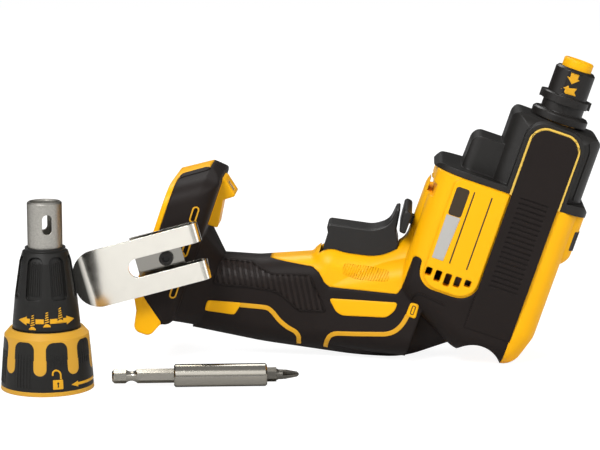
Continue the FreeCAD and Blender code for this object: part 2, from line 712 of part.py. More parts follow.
# Bayonet nose collar with three lugs and three flats, and the ring at its mouth
profile = [
    (d.nose_bore, d.tower_front),
    (d.shoulder_ring_radius, d.tower_front),
    (d.shoulder_ring_radius, d.tower_front + 3.6),
    (d.shoulder_ring_radius - 1, d.tower_front + 4.6),
    (d.neck_radius, d.tower_front + 4.6),
    (d.neck_radius, d.neck_front),
    (d.lug_flange_radius, d.neck_front),
    (d.lug_flange_radius, d.lug_front - 0.6),
    (d.lug_flange_radius - 0.6, d.lug_front),
    (d.collar_radius, d.lug_front),
    (d.collar_radius, d.collar_front - 1.2),
    (d.collar_radius - 1.2, d.collar_front),
    (d.nose_ring_radius + d.run_gap, d.collar_front),
    (d.nose_ring_radius + d.run_gap, d.nose_ring_rear),
    (d.nose_bore, d.nose_ring_rear),
]
points = [Vector(r, 0, z) for r, z in profile]
collar = Part.Face(Part.makePolygon(points + points[:1])).revolve(Vector(), Vector(0, 0, 1), 360)
for k in range(3):
    lug_foot = Vector(0, 0, d.neck_front)
    sector = Part.makeCylinder(d.lug_radius, d.lug_front - d.neck_front, lug_foot, Vector(0, 0, 1), d.lug_angle)
    sector = sector.cut(rod(d.lug_flange_radius - 1, BIG, Vector(0, 0, d.neck_front - 1)))
    sector.rotate(Vector(), Vector(0, 0, 1), -90 + k * 120 - d.lug_angle / 2)
    collar = collar.fuse(sector)
    flat = box(d.collar_flat, 20, -12, 12, d.lug_front + 1.2, d.collar_front - 1.6)
    flat.rotate(Vector(), Vector(0, 0, 1), -90 + k * 120)
    collar = collar.cut(flat)
feature("nose_collar", collar.removeSplitter(), "tool")
turned("nose_ring", [
    ("sizes.nose_bore", "sizes.nose_ring_rear"),
    ("sizes.nose_ring_radius", "sizes.nose_ring_rear"),
    ("sizes.nose_ring_radius", "sizes.nose_ring_front - 0.6"),
    ("sizes.nose_ring_radius - 0.6", "sizes.nose_ring_front"),
    ("sizes.nose_bore + 0.4", "sizes.nose_ring_front"),
    ("sizes.nose_bore", "sizes.nose_ring_front - 0.4"),
], "tool")


# Gear blanks with straight-flanked teeth, thinned for backlash
def gear(teeth, bore, width, half_turn):
    count = int(round(teeth))
    pitch = d.gear_module * teeth / 2
    tip, root = pitch + 0.85 * d.gear_module, pitch - 1.15 * d.gear_module
    half_tooth = 0.78 * math.pi / (2 * teeth)
    tip_half = half_tooth - 0.30 * d.gear_module / tip
    root_half = half_tooth + 0.30 * d.gear_module / root
    points = []
    for k in range(count):
        centre = 2 * math.pi * (k + (0.5 if half_turn else 0)) / count
        for radius, angle in ((root, -root_half), (pitch, -half_tooth), (tip, -tip_half),
                              (tip, tip_half), (pitch, half_tooth), (root, root_half)):
            points.append(Vector(radius * math.cos(centre + angle), radius * math.sin(centre + angle), 0))
    blank = Part.Face(Part.makePolygon(points + points[:1])).extrude(Vector(0, 0, width))
    return blank.cut(rod(bore, width, Vector()))


def dogs(z, phase):
    """Three clutch dogs standing on a face."""
    solids = []
    for k in range(3):
        dog = Part.makeCylinder(10.2, d.dog_deep + 0.5, Vector(0, 0, z), Vector(0, 0, 1), 46)
        dog = dog.cut(rod(7.0, BIG, Vector(0, 0, z - 1)))
        dog.rotate(Vector(), Vector(0, 0, 1), phase + 120 * k)
        solids.append(dog)
    return solids


stub_bore = d.stub_radius + d.run_gap
wheel = gear(d.gear_teeth, stub_bore, d.gear_wide, False)
wheel.translate(Vector(0, 0, d.gear_rear))
for dog in dogs(d.gear_rear + d.gear_wide - 0.5, 0):
    wheel = wheel.fuse(dog)
feature("drive_gear", wheel.removeSplitter(), "tool")
pinion = gear(d.pinion_teeth, d.shaft_radius + 0.01, d.gear_wide + 1, True)
pinion.translate(Vector(motor_x, 0, d.gear_rear - 0.5))
feature("pinion", pinion, "tool")

stub_foot = d.gear_rear - d.stub_long
spindle = rod(d.stub_radius, flange_face() + 1 - stub_foot, Vector(0, 0, stub_foot))
spindle = spindle.fuse(rod(d.spindle_flange_radius, d.spindle_flange_thick, Vector(0, 0, flange_face())))
spindle = spindle.fuse(rod(d.spindle_radius, d.spindle_front - flange_face(), Vector(0, 0, flange_face())))
for dog in dogs(flange_face() - d.dog_deep, 60):
    spindle = spindle.fuse(dog)
socket_foot = Vector(0, 0, d.spindle_front - d.socket_deep)
spindle = spindle.cut(hexagon(d.socket_flats, d.socket_deep + 1, socket_foot))
feature("spindle", spindle.removeSplitter(), "tool")

GEAR_FACE = "sizes.gear_rear + sizes.gear_wide"
WASHER_REAR = GEAR_FACE + " + 2 * sizes.dog_deep + sizes.dog_gap + sizes.spindle_flange_thick + 0.2"
ring("thrust_washer", "sizes.spindle_flange_radius", "sizes.spindle_radius + sizes.run_gap", WASHER_REAR,
     WASHER_REAR + " + sizes.washer_thick", "tool")
BUSH_REAR = WASHER_REAR + " + sizes.washer_thick + sizes.end_gap"
ring("spindle_bush", "sizes.spindle_radius + 4", "sizes.spindle_radius + sizes.run_gap", BUSH_REAR,
     "sizes.tower_front", "tool")
ring("gear_bush", "sizes.stub_radius + 2.2", "sizes.stub_radius + sizes.run_gap", "sizes.barrel_front + 1",
     "sizes.gear_rear - 0.3", "tool")
ring("clutch_spring", "sizes.stub_radius + 1.6", "sizes.stub_radius + 0.4", GEAR_FACE,
     GEAR_FACE + " + sizes.dog_deep - 0.4", "tool")

# Motor on its own axis
motor_seat = Placement(Vector(motor_x, 0, 0), Rotation())
ring("stator", "sizes.stator_radius", "sizes.stator_bore", "sizes.stator_rear",
     "sizes.stator_rear + sizes.stator_long", "tool", motor_seat)
ring("rotor_core", "sizes.stator_bore - sizes.rotor_gap", "sizes.shaft_radius + 0.01",
     "sizes.stator_rear + 1", "sizes.stator_rear + sizes.stator_long - 1", "tool", motor_seat)
turned("motor_shaft", [
    ("0", "sizes.shaft_rear"),
    ("sizes.shaft_radius", "sizes.shaft_rear"),
    ("sizes.shaft_radius", GEAR_FACE + " + 1.5"),
    ("0", GEAR_FACE + " + 1.5"),
], "tool", motor_seat)
ring("rear_bearing", "sizes.rear_bearing_radius", "sizes.shaft_radius + sizes.run_gap",
     "sizes.shaft_rear + 1", "sizes.shaft_rear + 1 + sizes.rear_bearing_wide", "tool", motor_seat)
ring("front_bearing", "sizes.front_bearing_radius", "sizes.shaft_radius + sizes.run_gap",
     "sizes.barrel_front + 1", "sizes.barrel_front + 1 + sizes.front_bearing_wide", "tool", motor_seat)

fan_foot = Vector(0, 0, d.fan_rear)
fan = rod(d.fan_radius, 1.2, fan_foot).fuse(rod(d.shaft_radius + 3, d.fan_deep, fan_foot))
for k in range(11):
    blade = box(d.shaft_radius + 2, d.fan_radius - 0.5, -0.5, 0.5, 0.5, d.fan_deep)
    blade.translate(fan_foot)
    blade.rotate(Vector(d.shaft_radius + 2, 0, 0), Vector(0, 0, 1), 25)
    blade.rotate(Vector(), Vector(0, 0, 1), k * 360 / 11)
    fan = fan.fuse(blade)
fan = fan.common(rod(d.fan_radius, BIG, Vector())).cut(rod(d.shaft_radius + 0.01, BIG, Vector()))
fan.translate(Vector(motor_x, 0, 0))
feature("fan", fan.removeSplitter(), "tool")

# Controls
trigger = prism(trigger_outline(), "Y", -d.trigger_half, d.trigger_half)
pull_edges = []
for edge in trigger.Edges:
    middle = edge.CenterOfMass
    on_side = abs(abs(middle.y) - d.trigger_half) < 1e-4
    if on_side and middle.x < -66 and middle.z > d.skirt_height + 9:
        pull_edges.append(edge)
trigger = trigger.makeFillet(d.trigger_round, pull_edges)
stem_foot = SWITCH[4] - 5
stem = rod(2.6, d.skirt_height - 7 - stem_foot, Vector(-78, 0, stem_foot))
feature("trigger", trigger.fuse(stem).removeSplitter(), "tool")
switch = switch_box().cut(rod(2.6 + d.run_gap, BIG, Vector(-78, 0, stem_foot - d.trigger_travel - 0.5)))
feature("trigger_switch", switch, "tool")
lever = soften_sides(prism(lever_outline(), "Y", -d.lever_half, d.lever_half), d.lever_half, 0.9)
lever = lever.fuse(box(-58.5, -50.5, -4, 4, 57.2, 61.8))
feature("direction_lever", lever.removeSplitter(), "tool")
feature("control_module", module_box(), "tool")

# Battery contacts under the foot's ceiling
ceiling = -d.foot_base + d.shoe_depth
feature("terminal_block", box(ceiling - 8, ceiling, -20, 20, -6, 34), "tool")
blades = [box(ceiling - 6.5, ceiling - 2, y - 0.4, y + 0.4, -18, -6) for y in (-12, -6, 0, 6, 12)]
feature("terminals", Part.makeCompound(blades), "tool")


# Belt hook: base plate on the foot, two folded arms and an outer leaf with a tip that curls out
def hook():
    outer = d.hook_bend
    fold = d.hook_fold
    base = box(-16, fold, -d.hook_thick, 0, -d.hook_wide / 2, d.hook_wide / 2)
    bend = rod(outer, d.hook_wide, Vector(fold, -outer, -d.hook_wide / 2))
    bend = bend.cut(rod(outer - d.hook_thick, BIG, Vector(fold, -outer, -d.hook_wide)))
    bend = bend.common(box(fold, BIG, -BIG, BIG, -BIG, BIG))
    leaf = box(-d.hook_leaf, fold, -2 * outer, -2 * outer + d.hook_thick, -d.hook_wide / 2, d.hook_wide / 2)
    pivot = Vector(-d.hook_leaf, -2 * outer - d.hook_curl, -d.hook_wide / 2)
    tip = Part.makeCylinder(d.hook_curl + d.hook_thick, d.hook_wide, pivot, Vector(0, 0, 1), d.hook_flare)
    tip = tip.cut(rod(d.hook_curl, d.hook_wide, pivot))
    tip.rotate(pivot, Vector(0, 0, 1), 90)
    form = base.fuse(bend).fuse(leaf).fuse(tip)
    half = d.hook_wide / 2
    plan = [
        (-48.2, -half, 12),
        (fold + outer, -half, 0),
        (fold + outer, half, 0),
        (-48.2, half, 12),
    ]
    form = form.common(prism(plan, "Y", -BIG, BIG))
    slot_half = d.hook_slot / 2
    slot = [
        (-19.3, -slot_half, slot_half - 0.1),
        (60, -slot_half, 0),
        (60, slot_half, 0),
        (-19.3, slot_half, slot_half - 0.1),
    ]
    slot = prism(slot, "Y", -BIG, -d.hook_thick - 0.01)
    arms = prism(rounded_box(9, 60, -d.hook_slot / 2, d.hook_slot / 2, 1), "Y", -BIG, 1)
    form = form.cut(slot).cut(arms)
    form = form.cut(rod(1.9, BIG, Vector(0, -100, 0), Vector(0, 1, 0)))
    return form.removeSplitter()


belt_hook = hook()
belt_hook.Placement = hook_frame()
feature("belt_hook", belt_hook, "tool")
screw = rod(d.hook_screw_radius, 2.6, Vector(0, -d.hook_thick, 0), Vector(0, -1, 0))
screw = screw.cut(rod(1.9, 1.8, Vector(0, -d.hook_thick - 2.6, 0), Vector(0, 1, 0)))
shank_top = Vector(0, -d.hook_thick - 0.3, 0)
screw = screw.fuse(rod(1.85, d.hook_screw_deep + d.hook_thick + 0.3, shank_top, Vector(0, 1, 0)))
screw.Placement = hook_frame()
feature("belt_hook_screw", screw, "tool")

# Nose cone, standing on its lock collar
SLEEVE = "sizes.cone_sleeve_radius"
TUBE_BORE = "sizes.tube_radius + sizes.run_gap"
SLEEVE_TOP = "sizes.cone_collar_tall + sizes.fit_gap"
turned("cone_sleeve", [
    ("sizes.cone_socket", "sizes.cone_lift"),
    (SLEEVE, "sizes.cone_lift"),
    (SLEEVE, SLEEVE_TOP),
    ("sizes.cone_neck_radius", SLEEVE_TOP),
    ("sizes.cone_neck_radius", "sizes.cone_neck_top"),
    (TUBE_BORE, "sizes.cone_neck_top"),
    (TUBE_BORE, "sizes.cone_socket_deep"),
    ("sizes.cone_socket", "sizes.cone_socket_deep"),
], "cone")
ring("retaining_ring", "sizes.cone_neck_radius", TUBE_BORE + " + sizes.fit_gap", "sizes.cone_neck_top",
     "sizes.cone_neck_top + 0.8", "cone")


def frustum(low_radius, high_radius, low, high):
    """Solid cone between two heights, or a plain bar where both radii are the same."""
    if abs(low_radius - high_radius) < 1e-9:
        return rod(low_radius, high - low, Vector(0, 0, low))
    return Part.makeCone(low_radius, high_radius, high - low, Vector(0, 0, low))


def radial(outline, count, phase=0.0):
    """Prisms of one outline, repeated round the cone's axis."""
    shapes = []
    for k in range(int(round(count))):
        shape = prism(outline, "Y", -BIG, 0)
        shape.rotate(Vector(), Vector(0, 0, 1), phase + 360.0 * k / count)
        shapes.append(shape)
    return shapes


def collar_skin(inset, low, high):
    slope = (d.cone_collar_neck - d.cone_collar_base) / d.cone_collar_tall
    foot = d.cone_collar_base - inset
    return frustum(foot + slope * low, foot + slope * high, low, high)


band_low, band_high, pad_top, pad_phase = 2.2, 14.0, 24.0, 22.5
shell = collar_skin(0, band_low, pad_top).cut(collar_skin(d.rubber_thick, band_low - 1, pad_top + 1))
pitch = 2 * math.pi * d.cone_collar_base / d.finger_count
pad_half = (pitch - d.finger_wide) / 2
pad_outline = [
    (-pad_half, band_low, 0),
    (pad_half, band_low, 0),
    (pad_half, pad_top, 4),
    (-pad_half, pad_top, 4),
]
rubber = shell.common(frustum(d.cone_collar_base + 1, d.cone_collar_base + 1, band_low, band_high))
for pad in radial(pad_outline, d.finger_count, pad_phase):
    rubber = rubber.fuse(shell.common(pad))
tip_round = d.finger_wide / 2 - 0.05
finger = rounded_box(-d.finger_wide / 2, d.finger_wide / 2, d.finger_end, pad_top + 9, tip_round)
for cut in radial(finger, d.finger_count, pad_phase + 180.0 / d.finger_count):
    rubber = rubber.cut(cut)
rubber = rubber.removeSplitter()
collar_body = collar_skin(0, 0, d.cone_collar_tall - 3)
collar_body = collar_body.fuse(frustum(d.cone_collar_neck + 0.24, d.cone_collar_neck - 2.4,
                                       d.cone_collar_tall - 3, d.cone_collar_tall))
collar_body = collar_body.cut(rod(d.cone_sleeve_radius + d.end_gap, BIG, Vector(0, 0, -1))).cut(rubber)
feature("lock_collar", collar_body.removeSplitter(), "cone")
feature("lock_collar_grip", rubber, "cone")


def adjuster_skin(inset=0.0):
    low = d.cone_collar_tall + d.fit_gap + d.end_gap
    profile = [
        (0, low),
        (d.adjuster_base, low),
        (d.adjuster_base, low + 2),
        (d.adjuster_mid + 1.5, 47.6),
        (d.adjuster_mid, 57.8),
        (d.adjuster_neck + 2.8, 65),
        (d.adjuster_neck + 1.2, 70),
        (d.adjuster_neck, d.adjuster_top - 1.2),
        (d.adjuster_neck, d.adjuster_top),
        (0, d.adjuster_top),
    ]
    points = [Vector(max(r - inset, 0), 0, z) for r, z in profile]
    return Part.Face(Part.makePolygon(points + points[:1])).revolve(Vector(), Vector(0, 0, 1), 360)


adjuster = adjuster_skin()
shell = adjuster.cut(adjuster_skin(d.scallop_deep))
scallop = [(-4.3, 47, 2), (4.3, 47, 2), (3.9, 68.2, 3.2), (-3.9, 68.2, 3.2)]
for recess in radial(scallop, d.scallop_count, d.scallop_phase):
    adjuster = adjuster.cut(shell.common(recess))
adjuster = adjuster.cut(rod(d.cone_neck_radius + d.end_gap, d.cone_neck_top + 1.2, Vector()))
adjuster = adjuster.cut(rod(d.tube_radius + d.end_gap, BIG, Vector()))
feature("depth_adjuster", adjuster.removeSplitter(), "cone")

tube_foot = d.cone_socket_deep + d.tube_travel + 2
tube = rod(d.tube_radius, d.tube_top - tube_foot, Vector(0, 0, tube_foot))
tube = tube.cut(rod(d.tube_bore, BIG, Vector()))
tube = tube.makeChamfer(0.7, [e for e in tube.Edges if abs(e.CenterOfMass.z - d.tube_top) < 1e-3])
half_wide = d.tube_slot_wide / 2
slot_top = d.tube_top - d.tube_slot_down
tube_slot = rounded_box(-half_wide, half_wide, slot_top - d.tube_slot_tall, slot_top, half_wide - 0.05)
for slot in radial(tube_slot, 2, 17.0):
    tube = tube.cut(slot)
feature("locator_tube", tube, "cone")

# Magnetic bit holder, lying on its round body
shank_end = d.shank_long
body_end = d.shank_long + d.holder_long
holder = hexagon(d.hex_flats, shank_end + 1, Vector())
groove = Part.makeTorus(d.groove_radius + d.groove_round, d.groove_round, Vector(0, 0, d.groove_place))
holder = holder.cut(groove).common(frustum(2.4, 2.4 + shank_end + 1, 0, shank_end + 1))
sleeve = rod(d.holder_radius, d.holder_long, Vector(0, 0, shank_end))
sleeve = sleeve.makeChamfer(0.8, [e for e in sleeve.Edges if e.Curve.TypeId == "Part::GeomCircle"])
holder = holder.fuse(sleeve)
magnet_foot = body_end + d.bit_stand - d.bit_long - d.magnet_long
holder = holder.cut(hexagon(d.hex_flats + 2 * d.run_gap, BIG, Vector(0, 0, magnet_foot)))
feature("bit_holder", holder.removeSplitter(), "bit")
feature("bit_magnet", rod(d.hex_flats / 2 - 0.02, d.magnet_long, Vector(0, 0, magnet_foot)), "bit")


def cross_bit():
    foot = magnet_foot + d.magnet_long
    top = body_end + d.bit_stand
    neck = top - d.tip_long
    bit = hexagon(d.hex_flats, neck - foot, Vector(0, 0, foot))
    tip = frustum(3.0, 2.5, neck, neck + 1.2).fuse(rod(2.5, 3.3, Vector(0, 0, neck + 1.2)))
    wings = frustum(2.5, 1.3, neck + 4.5, top - 0.9).fuse(frustum(1.3, 0.5, top - 0.9, top))
    for k in range(4):
        flute = box(0.5, 5, 0.5, 5, neck + 3.2, top + 1)
        flute.rotate(Vector(), Vector(0, 0, 1), 90 * k + 20)
        wings = wings.cut(flute)
        tip = tip.cut(flute)
    return bit.fuse(tip).fuse(wings)


feature("screwdriver_bit", cross_bit().removeSplitter(), "bit")
doc.recompute()

# Every piece takes the place in which it lies: the tool on its tail and belly, the others in front of it
lean = Placement(Vector(), Rotation(Vector(0, 1, 0), d.lean))
yaw = math.radians(d.bit_yaw)
lying = Rotation(Vector(0, 0, 1), Vector(math.cos(yaw), math.sin(yaw), 0))
frames = {
    "tool": lean,
    "cone": Placement(Vector(d.cone_x, d.cone_y, 0), Rotation()),
    "bit": Placement(Vector(d.bit_x, d.bit_y, d.holder_radius), lying),
}


def settle():
    """Puts each sub-part in its place."""
    for obj, frame, seat in nodes.values():
        obj.Placement = frames[frame].multiply(seat)
    doc.recompute()


def extent(frame_names):
    shapes = [obj.Shape for obj, frame, seat in nodes.values() if frame in frame_names]
    return Part.makeCompound(shapes).optimalBoundingBox(False, False)


settle()
frames["tool"].Base.z -= extent(["tool"]).ZMin
settle()
whole = extent(["tool", "cone", "bit"])
for place in frames.values():
    place.Base.x -= (whole.XMin + whole.XMax) / 2
    place.Base.y -= (whole.YMin + whole.YMax) / 2
settle()

for obj in doc.Objects:
    if "Invalid" in obj.State or "Error" in obj.State:
        raise RuntimeError("failed feature: " + obj.Label)
for label, (obj, frame, seat) in nodes.items():
    if obj.Shape.isNull() or not obj.Shape.isValid() or not obj.Shape.Solids:
        raise RuntimeError("bad shape: " + label)

os.makedirs("parts", exist_ok=True)
for label, (obj, frame, seat) in nodes.items():
    print(label, len(obj.Shape.Solids), round(obj.Shape.Volume))
    obj.Shape.exportStep("parts/" + label + ".step")
print("tool frame", frames["tool"].Base, "cone frame", frames["cone"].Base, "bit frame", frames["bit"].Base)
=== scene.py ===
import json
import math

import bmesh
import bpy
from bpy.props import FloatProperty, FloatVectorProperty, PointerProperty
from mathutils import Matrix, Vector
from mathutils.bvhtree import BVHTree


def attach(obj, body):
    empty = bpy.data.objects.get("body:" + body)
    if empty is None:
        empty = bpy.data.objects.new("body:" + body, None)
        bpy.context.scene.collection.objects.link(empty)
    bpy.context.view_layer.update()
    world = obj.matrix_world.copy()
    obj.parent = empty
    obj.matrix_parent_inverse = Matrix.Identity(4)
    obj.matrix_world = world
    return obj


bl_info = {
    "name": "Drywall screwdriver",
    "version": (1, 0, 0),
    "blender": (4, 5, 0),
    "location": "View3D > Sidebar > Screwdriver",
    "description": "Dresses the solids of a drywall screwdriver, its nose cone and its bit holder",
    "category": "Object",
}

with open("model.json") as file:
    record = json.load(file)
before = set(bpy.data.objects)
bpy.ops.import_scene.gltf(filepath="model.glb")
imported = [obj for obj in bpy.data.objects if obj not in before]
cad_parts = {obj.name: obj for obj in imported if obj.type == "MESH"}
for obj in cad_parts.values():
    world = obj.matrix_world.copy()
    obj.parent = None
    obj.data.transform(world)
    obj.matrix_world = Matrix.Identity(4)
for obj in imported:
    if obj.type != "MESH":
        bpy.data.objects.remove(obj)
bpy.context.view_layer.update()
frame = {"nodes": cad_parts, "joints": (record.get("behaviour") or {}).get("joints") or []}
NODES = frame["nodes"]
JOINTS = {joint["name"]: joint for joint in frame["joints"]}
FLANKS = ((-1, "left"), (1, "right"))
MM = 0.001
GEAR_HEIGHT = 106.0  # millimetres from the base of the tool's frame to the gear's pivot


def tool_place():
    """The tool's own frame: nose along Z, top of the tool along X, left flank towards -Y."""
    gear = JOINTS["gear_spin"]
    nose, across = Vector(gear["axis"]), Vector((0, 1, 0))
    base = Vector(gear["pos_m"]) - nose * GEAR_HEIGHT * MM
    return Matrix.Translation(base) @ Matrix((across.cross(nose), across, nose)).transposed().to_4x4()


def cone_place():
    """The cone's own frame: upright on the floor."""
    pivot = Vector(JOINTS["collar_lock"]["pos_m"])
    return Matrix.Translation((pivot.x, pivot.y, 0))


TOOL, CONE = tool_place(), cone_place()


# Sizes and colours that a user would change
def linear(hex_colour):
    """Linear colour of an sRGB hex value."""
    channels = [int(hex_colour[k:k + 2], 16) / 255 for k in (1, 3, 5)]
    return [c / 12.92 if c <= 0.04045 else ((c + 0.055) / 1.055) ** 2.4 for c in channels]


def colour_property(title, hex_colour, words):
    """Colour that a user can change."""
    return FloatVectorProperty(name=title, description=words, subtype="COLOR", size=3, min=0, max=1,
                               default=linear(hex_colour))


def length_property(title, millimetres, words):
    """Length that a user can change."""
    return FloatProperty(name=title, description=words, default=millimetres * MM, min=0, unit="LENGTH",
                         precision=5)


class ScrewdriverColours(bpy.types.PropertyGroup):
    """Colours of the moulded and coated pieces."""

    casing: colour_property("Casing", "#FAB505", "Yellow of the two casing halves")
    trim: colour_property("Trim", "#DDA21E", "Gold of the thin lines and marks")
    cone: colour_property("Cone collar", "#CE9A30", "Yellow of the lock collar")
    line: colour_property("Strip line", "#E2BA50", "Pale yellow of the thin line around the side strips")
    rubber: colour_property("Rubber", "#1B1513", "Black of the soft grip")
    case: colour_property("Gear case", "#191715", "Black of the gear case and the controls")
    label: colour_property("Label", "#B4B2AE", "Grey of the blank plate on each flank")
    print_dark: colour_property("Dark print", "#3A3023", "Brown-black of the printed patches")


class ScrewdriverSizes(bpy.types.PropertyGroup):
    """Sizes of the applied detail."""

    trim_wide: length_property("Trim width", 2.4, "Width of the gold lines on the grip")
    trim_proud: length_property("Trim height", 0.35, "Height of the gold lines over the grip")
    print_proud: length_property("Print height", 0.08, "Thickness of printed patches and marks")
    edge_round: length_property("Edge rounding", 0.6, "Radius at which moulded edges catch the light")
    cell: length_property("Mesh cell", 2.5, "Spacing of the cuts that let a laid piece follow a curve")


# Outlines, in millimetres on the surface they are laid on
EDGE_SHARE = 0.45  # most of an edge that the curve at one of its ends may take


def rounded(points, radius, closed=True, steps=4):
    """Points with each corner replaced by a short curve."""
    count = len(points)
    result = []
    for index, point in enumerate(points):
        here = Vector(point)
        if not closed and index in (0, count - 1):
            result.append(here)
            continue
        back = Vector(points[index - 1]) - here
        ahead = Vector(points[(index + 1) % count]) - here
        reach = min(radius, EDGE_SHARE * back.length, EDGE_SHARE * ahead.length)
        start = here + back.normalized() * reach
        end = here + ahead.normalized() * reach
        for step in range(steps + 1):
            t = step / steps
            result.append(start * (1 - t) ** 2 + here * (2 * t * (1 - t)) + end * t ** 2)
    return result


def band(points, width, closed=False):
    """Quads of a line drawn with a width."""
    count = len(points)
    rims = []
    for index, here in enumerate(points):
        before = points[index - 1] if closed or index else here
        after = points[(index + 1) % count] if closed or index < count - 1 else here
        along = (after - before).normalized()
        half = Vector((-along.y, along.x)) * width / 2
        rims.append((here + half, here - half))
    ends = rims[1:] + rims[:1] if closed else rims[1:]
    return [[a, b, d, c] for (a, b), (c, d) in zip(rims, ends)]


def box(left, right, low, high):
    """Corners of an upright rectangle."""
    return [(left, low), (right, low), (right, high), (left, high)]


def oblong(middle, wide, tall, steps=6):
    """Outline of a slot with round ends."""
    x, z = middle
    radius = wide / 2
    points = []
    for end, turn in ((1, 0), (-1, math.pi)):
        centre = z + end * (tall / 2 - radius)
        for step in range(steps + 1):
            angle = turn + math.pi * step / steps
            points.append(Vector((x + radius * math.cos(angle), centre + radius * math.sin(angle))))
    return points


def arch(half, low, high, radius, steps=8):
    """Line up one side, round two upper corners and down the other side."""
    points = [Vector((-half, low))]
    spring = high - radius
    for middle, turn in ((radius - half, math.pi), (half - radius, math.pi / 2)):
        for step in range(steps + 1):
            angle = turn - math.pi / 2 * step / steps
            points.append(Vector((middle + radius * math.cos(angle), spring + radius * math.sin(angle))))
    return points + [Vector((half, low))]


def moved(points, across, up):
    """Points shifted on the surface."""
    return [(across + x, up + z) for x, z in points]


def upright_ribs(middle, low, high, offsets, half, corner):
    """Row of narrow upright ribs about a middle."""
    return [rounded(box(middle + k - half, middle + k + half, low, high), corner) for k in offsets]


# Rays that find the surface a piece is laid on
REACH = 0.2  # metres from the tool's middle, or from an axis, to where a ray starts


def surface(*names):
    """Search tree over the triangles of some solids."""
    mesh = bmesh.new()
    for name in names:
        mesh.from_mesh(NODES[name].data)
    tree = BVHTree.FromBMesh(mesh)
    mesh.free()
    return tree


def flank(side):
    """Rays that meet a flank of the tool; the two numbers are its X and Z in millimetres."""
    def ray(x, z):
        return TOOL @ Vector((x * MM, side * REACH, z * MM)), TOOL.to_3x3() @ Vector((0, -side, 0))
    return ray


def crest(y, z):
    """Ray that meets the top of the tool."""
    return TOOL @ Vector((REACH, y * MM, z * MM)), TOOL.to_3x3() @ Vector((-1, 0, 0))


def turned(place, radius):
    """Rays towards an axis; the two numbers are the arc from the near side at a radius, and the height."""
    def ray(arc, height):
        out = Vector((math.sin(arc / radius), -math.cos(arc / radius), 0))
        return place @ (out * REACH + Vector((0, 0, height * MM))), place.to_3x3() @ -out
    return ray


# Pieces
MERGE, SNAP = 1e-3, 1e-4  # millimetres within which corners become one, and a cut keeps to a corner
SUNK = 2  # heights by which the underside of a laid piece lies below the surface


def cut(mesh, axis, spot):
    """Cuts flat shapes along a line across an axis."""
    whole = mesh.verts[:] + mesh.edges[:] + mesh.faces[:]
    bmesh.ops.bisect_plane(mesh, geom=whole, plane_co=axis * spot, plane_no=axis, dist=SNAP)


def ribbed(mesh, turn, pitch, wide):
    """Leaves parallel ribs of flat shapes."""
    axis = Vector((math.cos(math.radians(turn)), math.sin(math.radians(turn)), 0))
    spots = [vert.co.dot(axis) for vert in mesh.verts]
    for step in range(math.floor(min(spots) / pitch), math.ceil(max(spots) / pitch)):
        cut(mesh, axis, step * pitch)
        cut(mesh, axis, step * pitch + wide)
    gaps = [face for face in mesh.faces if face.calc_center_median().dot(axis) % pitch > wide]
    bmesh.ops.delete(mesh, geom=gaps, context="FACES")


def laid(faces, ray, onto, proud, cell, ribs=None):
    """Mesh of flat shapes that follow the solids they are laid on, raised by a height."""
    mesh = bmesh.new()
    for face in faces:
        mesh.faces.new([mesh.verts.new((u, v, 0)) for u, v in face])
    bmesh.ops.remove_doubles(mesh, verts=mesh.verts[:], dist=MERGE)
    if ribs:
        ribbed(mesh, *ribs)
    pitch = cell / MM
    for axis in (Vector((1, 0, 0)), Vector((0, 1, 0))):
        spots = [vert.co.dot(axis) for vert in mesh.verts]
        for step in range(math.ceil(min(spots) / pitch), math.floor(max(spots) / pitch) + 1):
            cut(mesh, axis, step * pitch)
    inward = mesh.verts.layers.float_vector.new("inward")
    for vert in mesh.verts:
        start, heading = ray(vert.co.x, vert.co.y)
        spot, _, _, _ = onto.ray_cast(start, heading)
        if spot is None:
            raise RuntimeError(f"nothing to lay a mark on at {tuple(vert.co)}")
        vert[inward] = heading
        vert.co = spot + heading * SUNK * proud
    raised = bmesh.ops.extrude_face_region(mesh, geom=mesh.faces[:])["geom"]
    for item in raised:
        if isinstance(item, bmesh.types.BMVert):
            item.co -= item[inward] * (SUNK + 1) * proud
    bmesh.ops.recalc_face_normals(mesh, faces=mesh.faces[:])
    return mesh


def placed(name, mesh, material):
    """Object made from a finished mesh."""
    data = bpy.data.meshes.new(name)
    mesh.to_mesh(data)
    mesh.free()
    data.materials.append(material)
    obj = bpy.data.objects.new(name, data)
    bpy.context.scene.collection.objects.link(obj)
    return obj


def lay(name, faces, ray, onto, proud, finish_name, body="tool", ribs=None, cell=None):
    """Piece that lies on some solids and rides on their body."""
    cell = cell or bpy.context.scene.screwdriver_sizes.cell
    obj = placed(name, laid(faces, ray, onto, proud, cell, ribs), finish(finish_name))
    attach(obj, body)


# Materials
def add(tree, kind, values=None, links=None, **settings):
    """Node with its settings, its socket values and its incoming links."""
    node = tree.nodes.new(kind)
    for key, value in settings.items():
        setattr(node, key, value)
    for socket, value in (values or {}).items():
        node.inputs[socket].default_value = value
    for socket, source in (links or {}).items():
        tree.links.new(source, node.inputs[socket])
    return node


def started(name):
    """Empty material with its tree, its output and Object coordinates."""
    material = bpy.data.materials.new(name)
    material.use_nodes = True
    tree = material.node_tree
    tree.nodes.clear()
    output = add(tree, "ShaderNodeOutputMaterial")
    place = add(tree, "ShaderNodeTexCoord").outputs["Object"]
    return material, tree, output, place


def per_metre(millimetres):
    """Texture scale that gives a feature this size."""
    return 1 / (millimetres * MM)


def shade(colour, factor):
    """Colour made lighter or darker, with an alpha of one."""
    return [min(c * factor, 1) for c in colour] + [1]


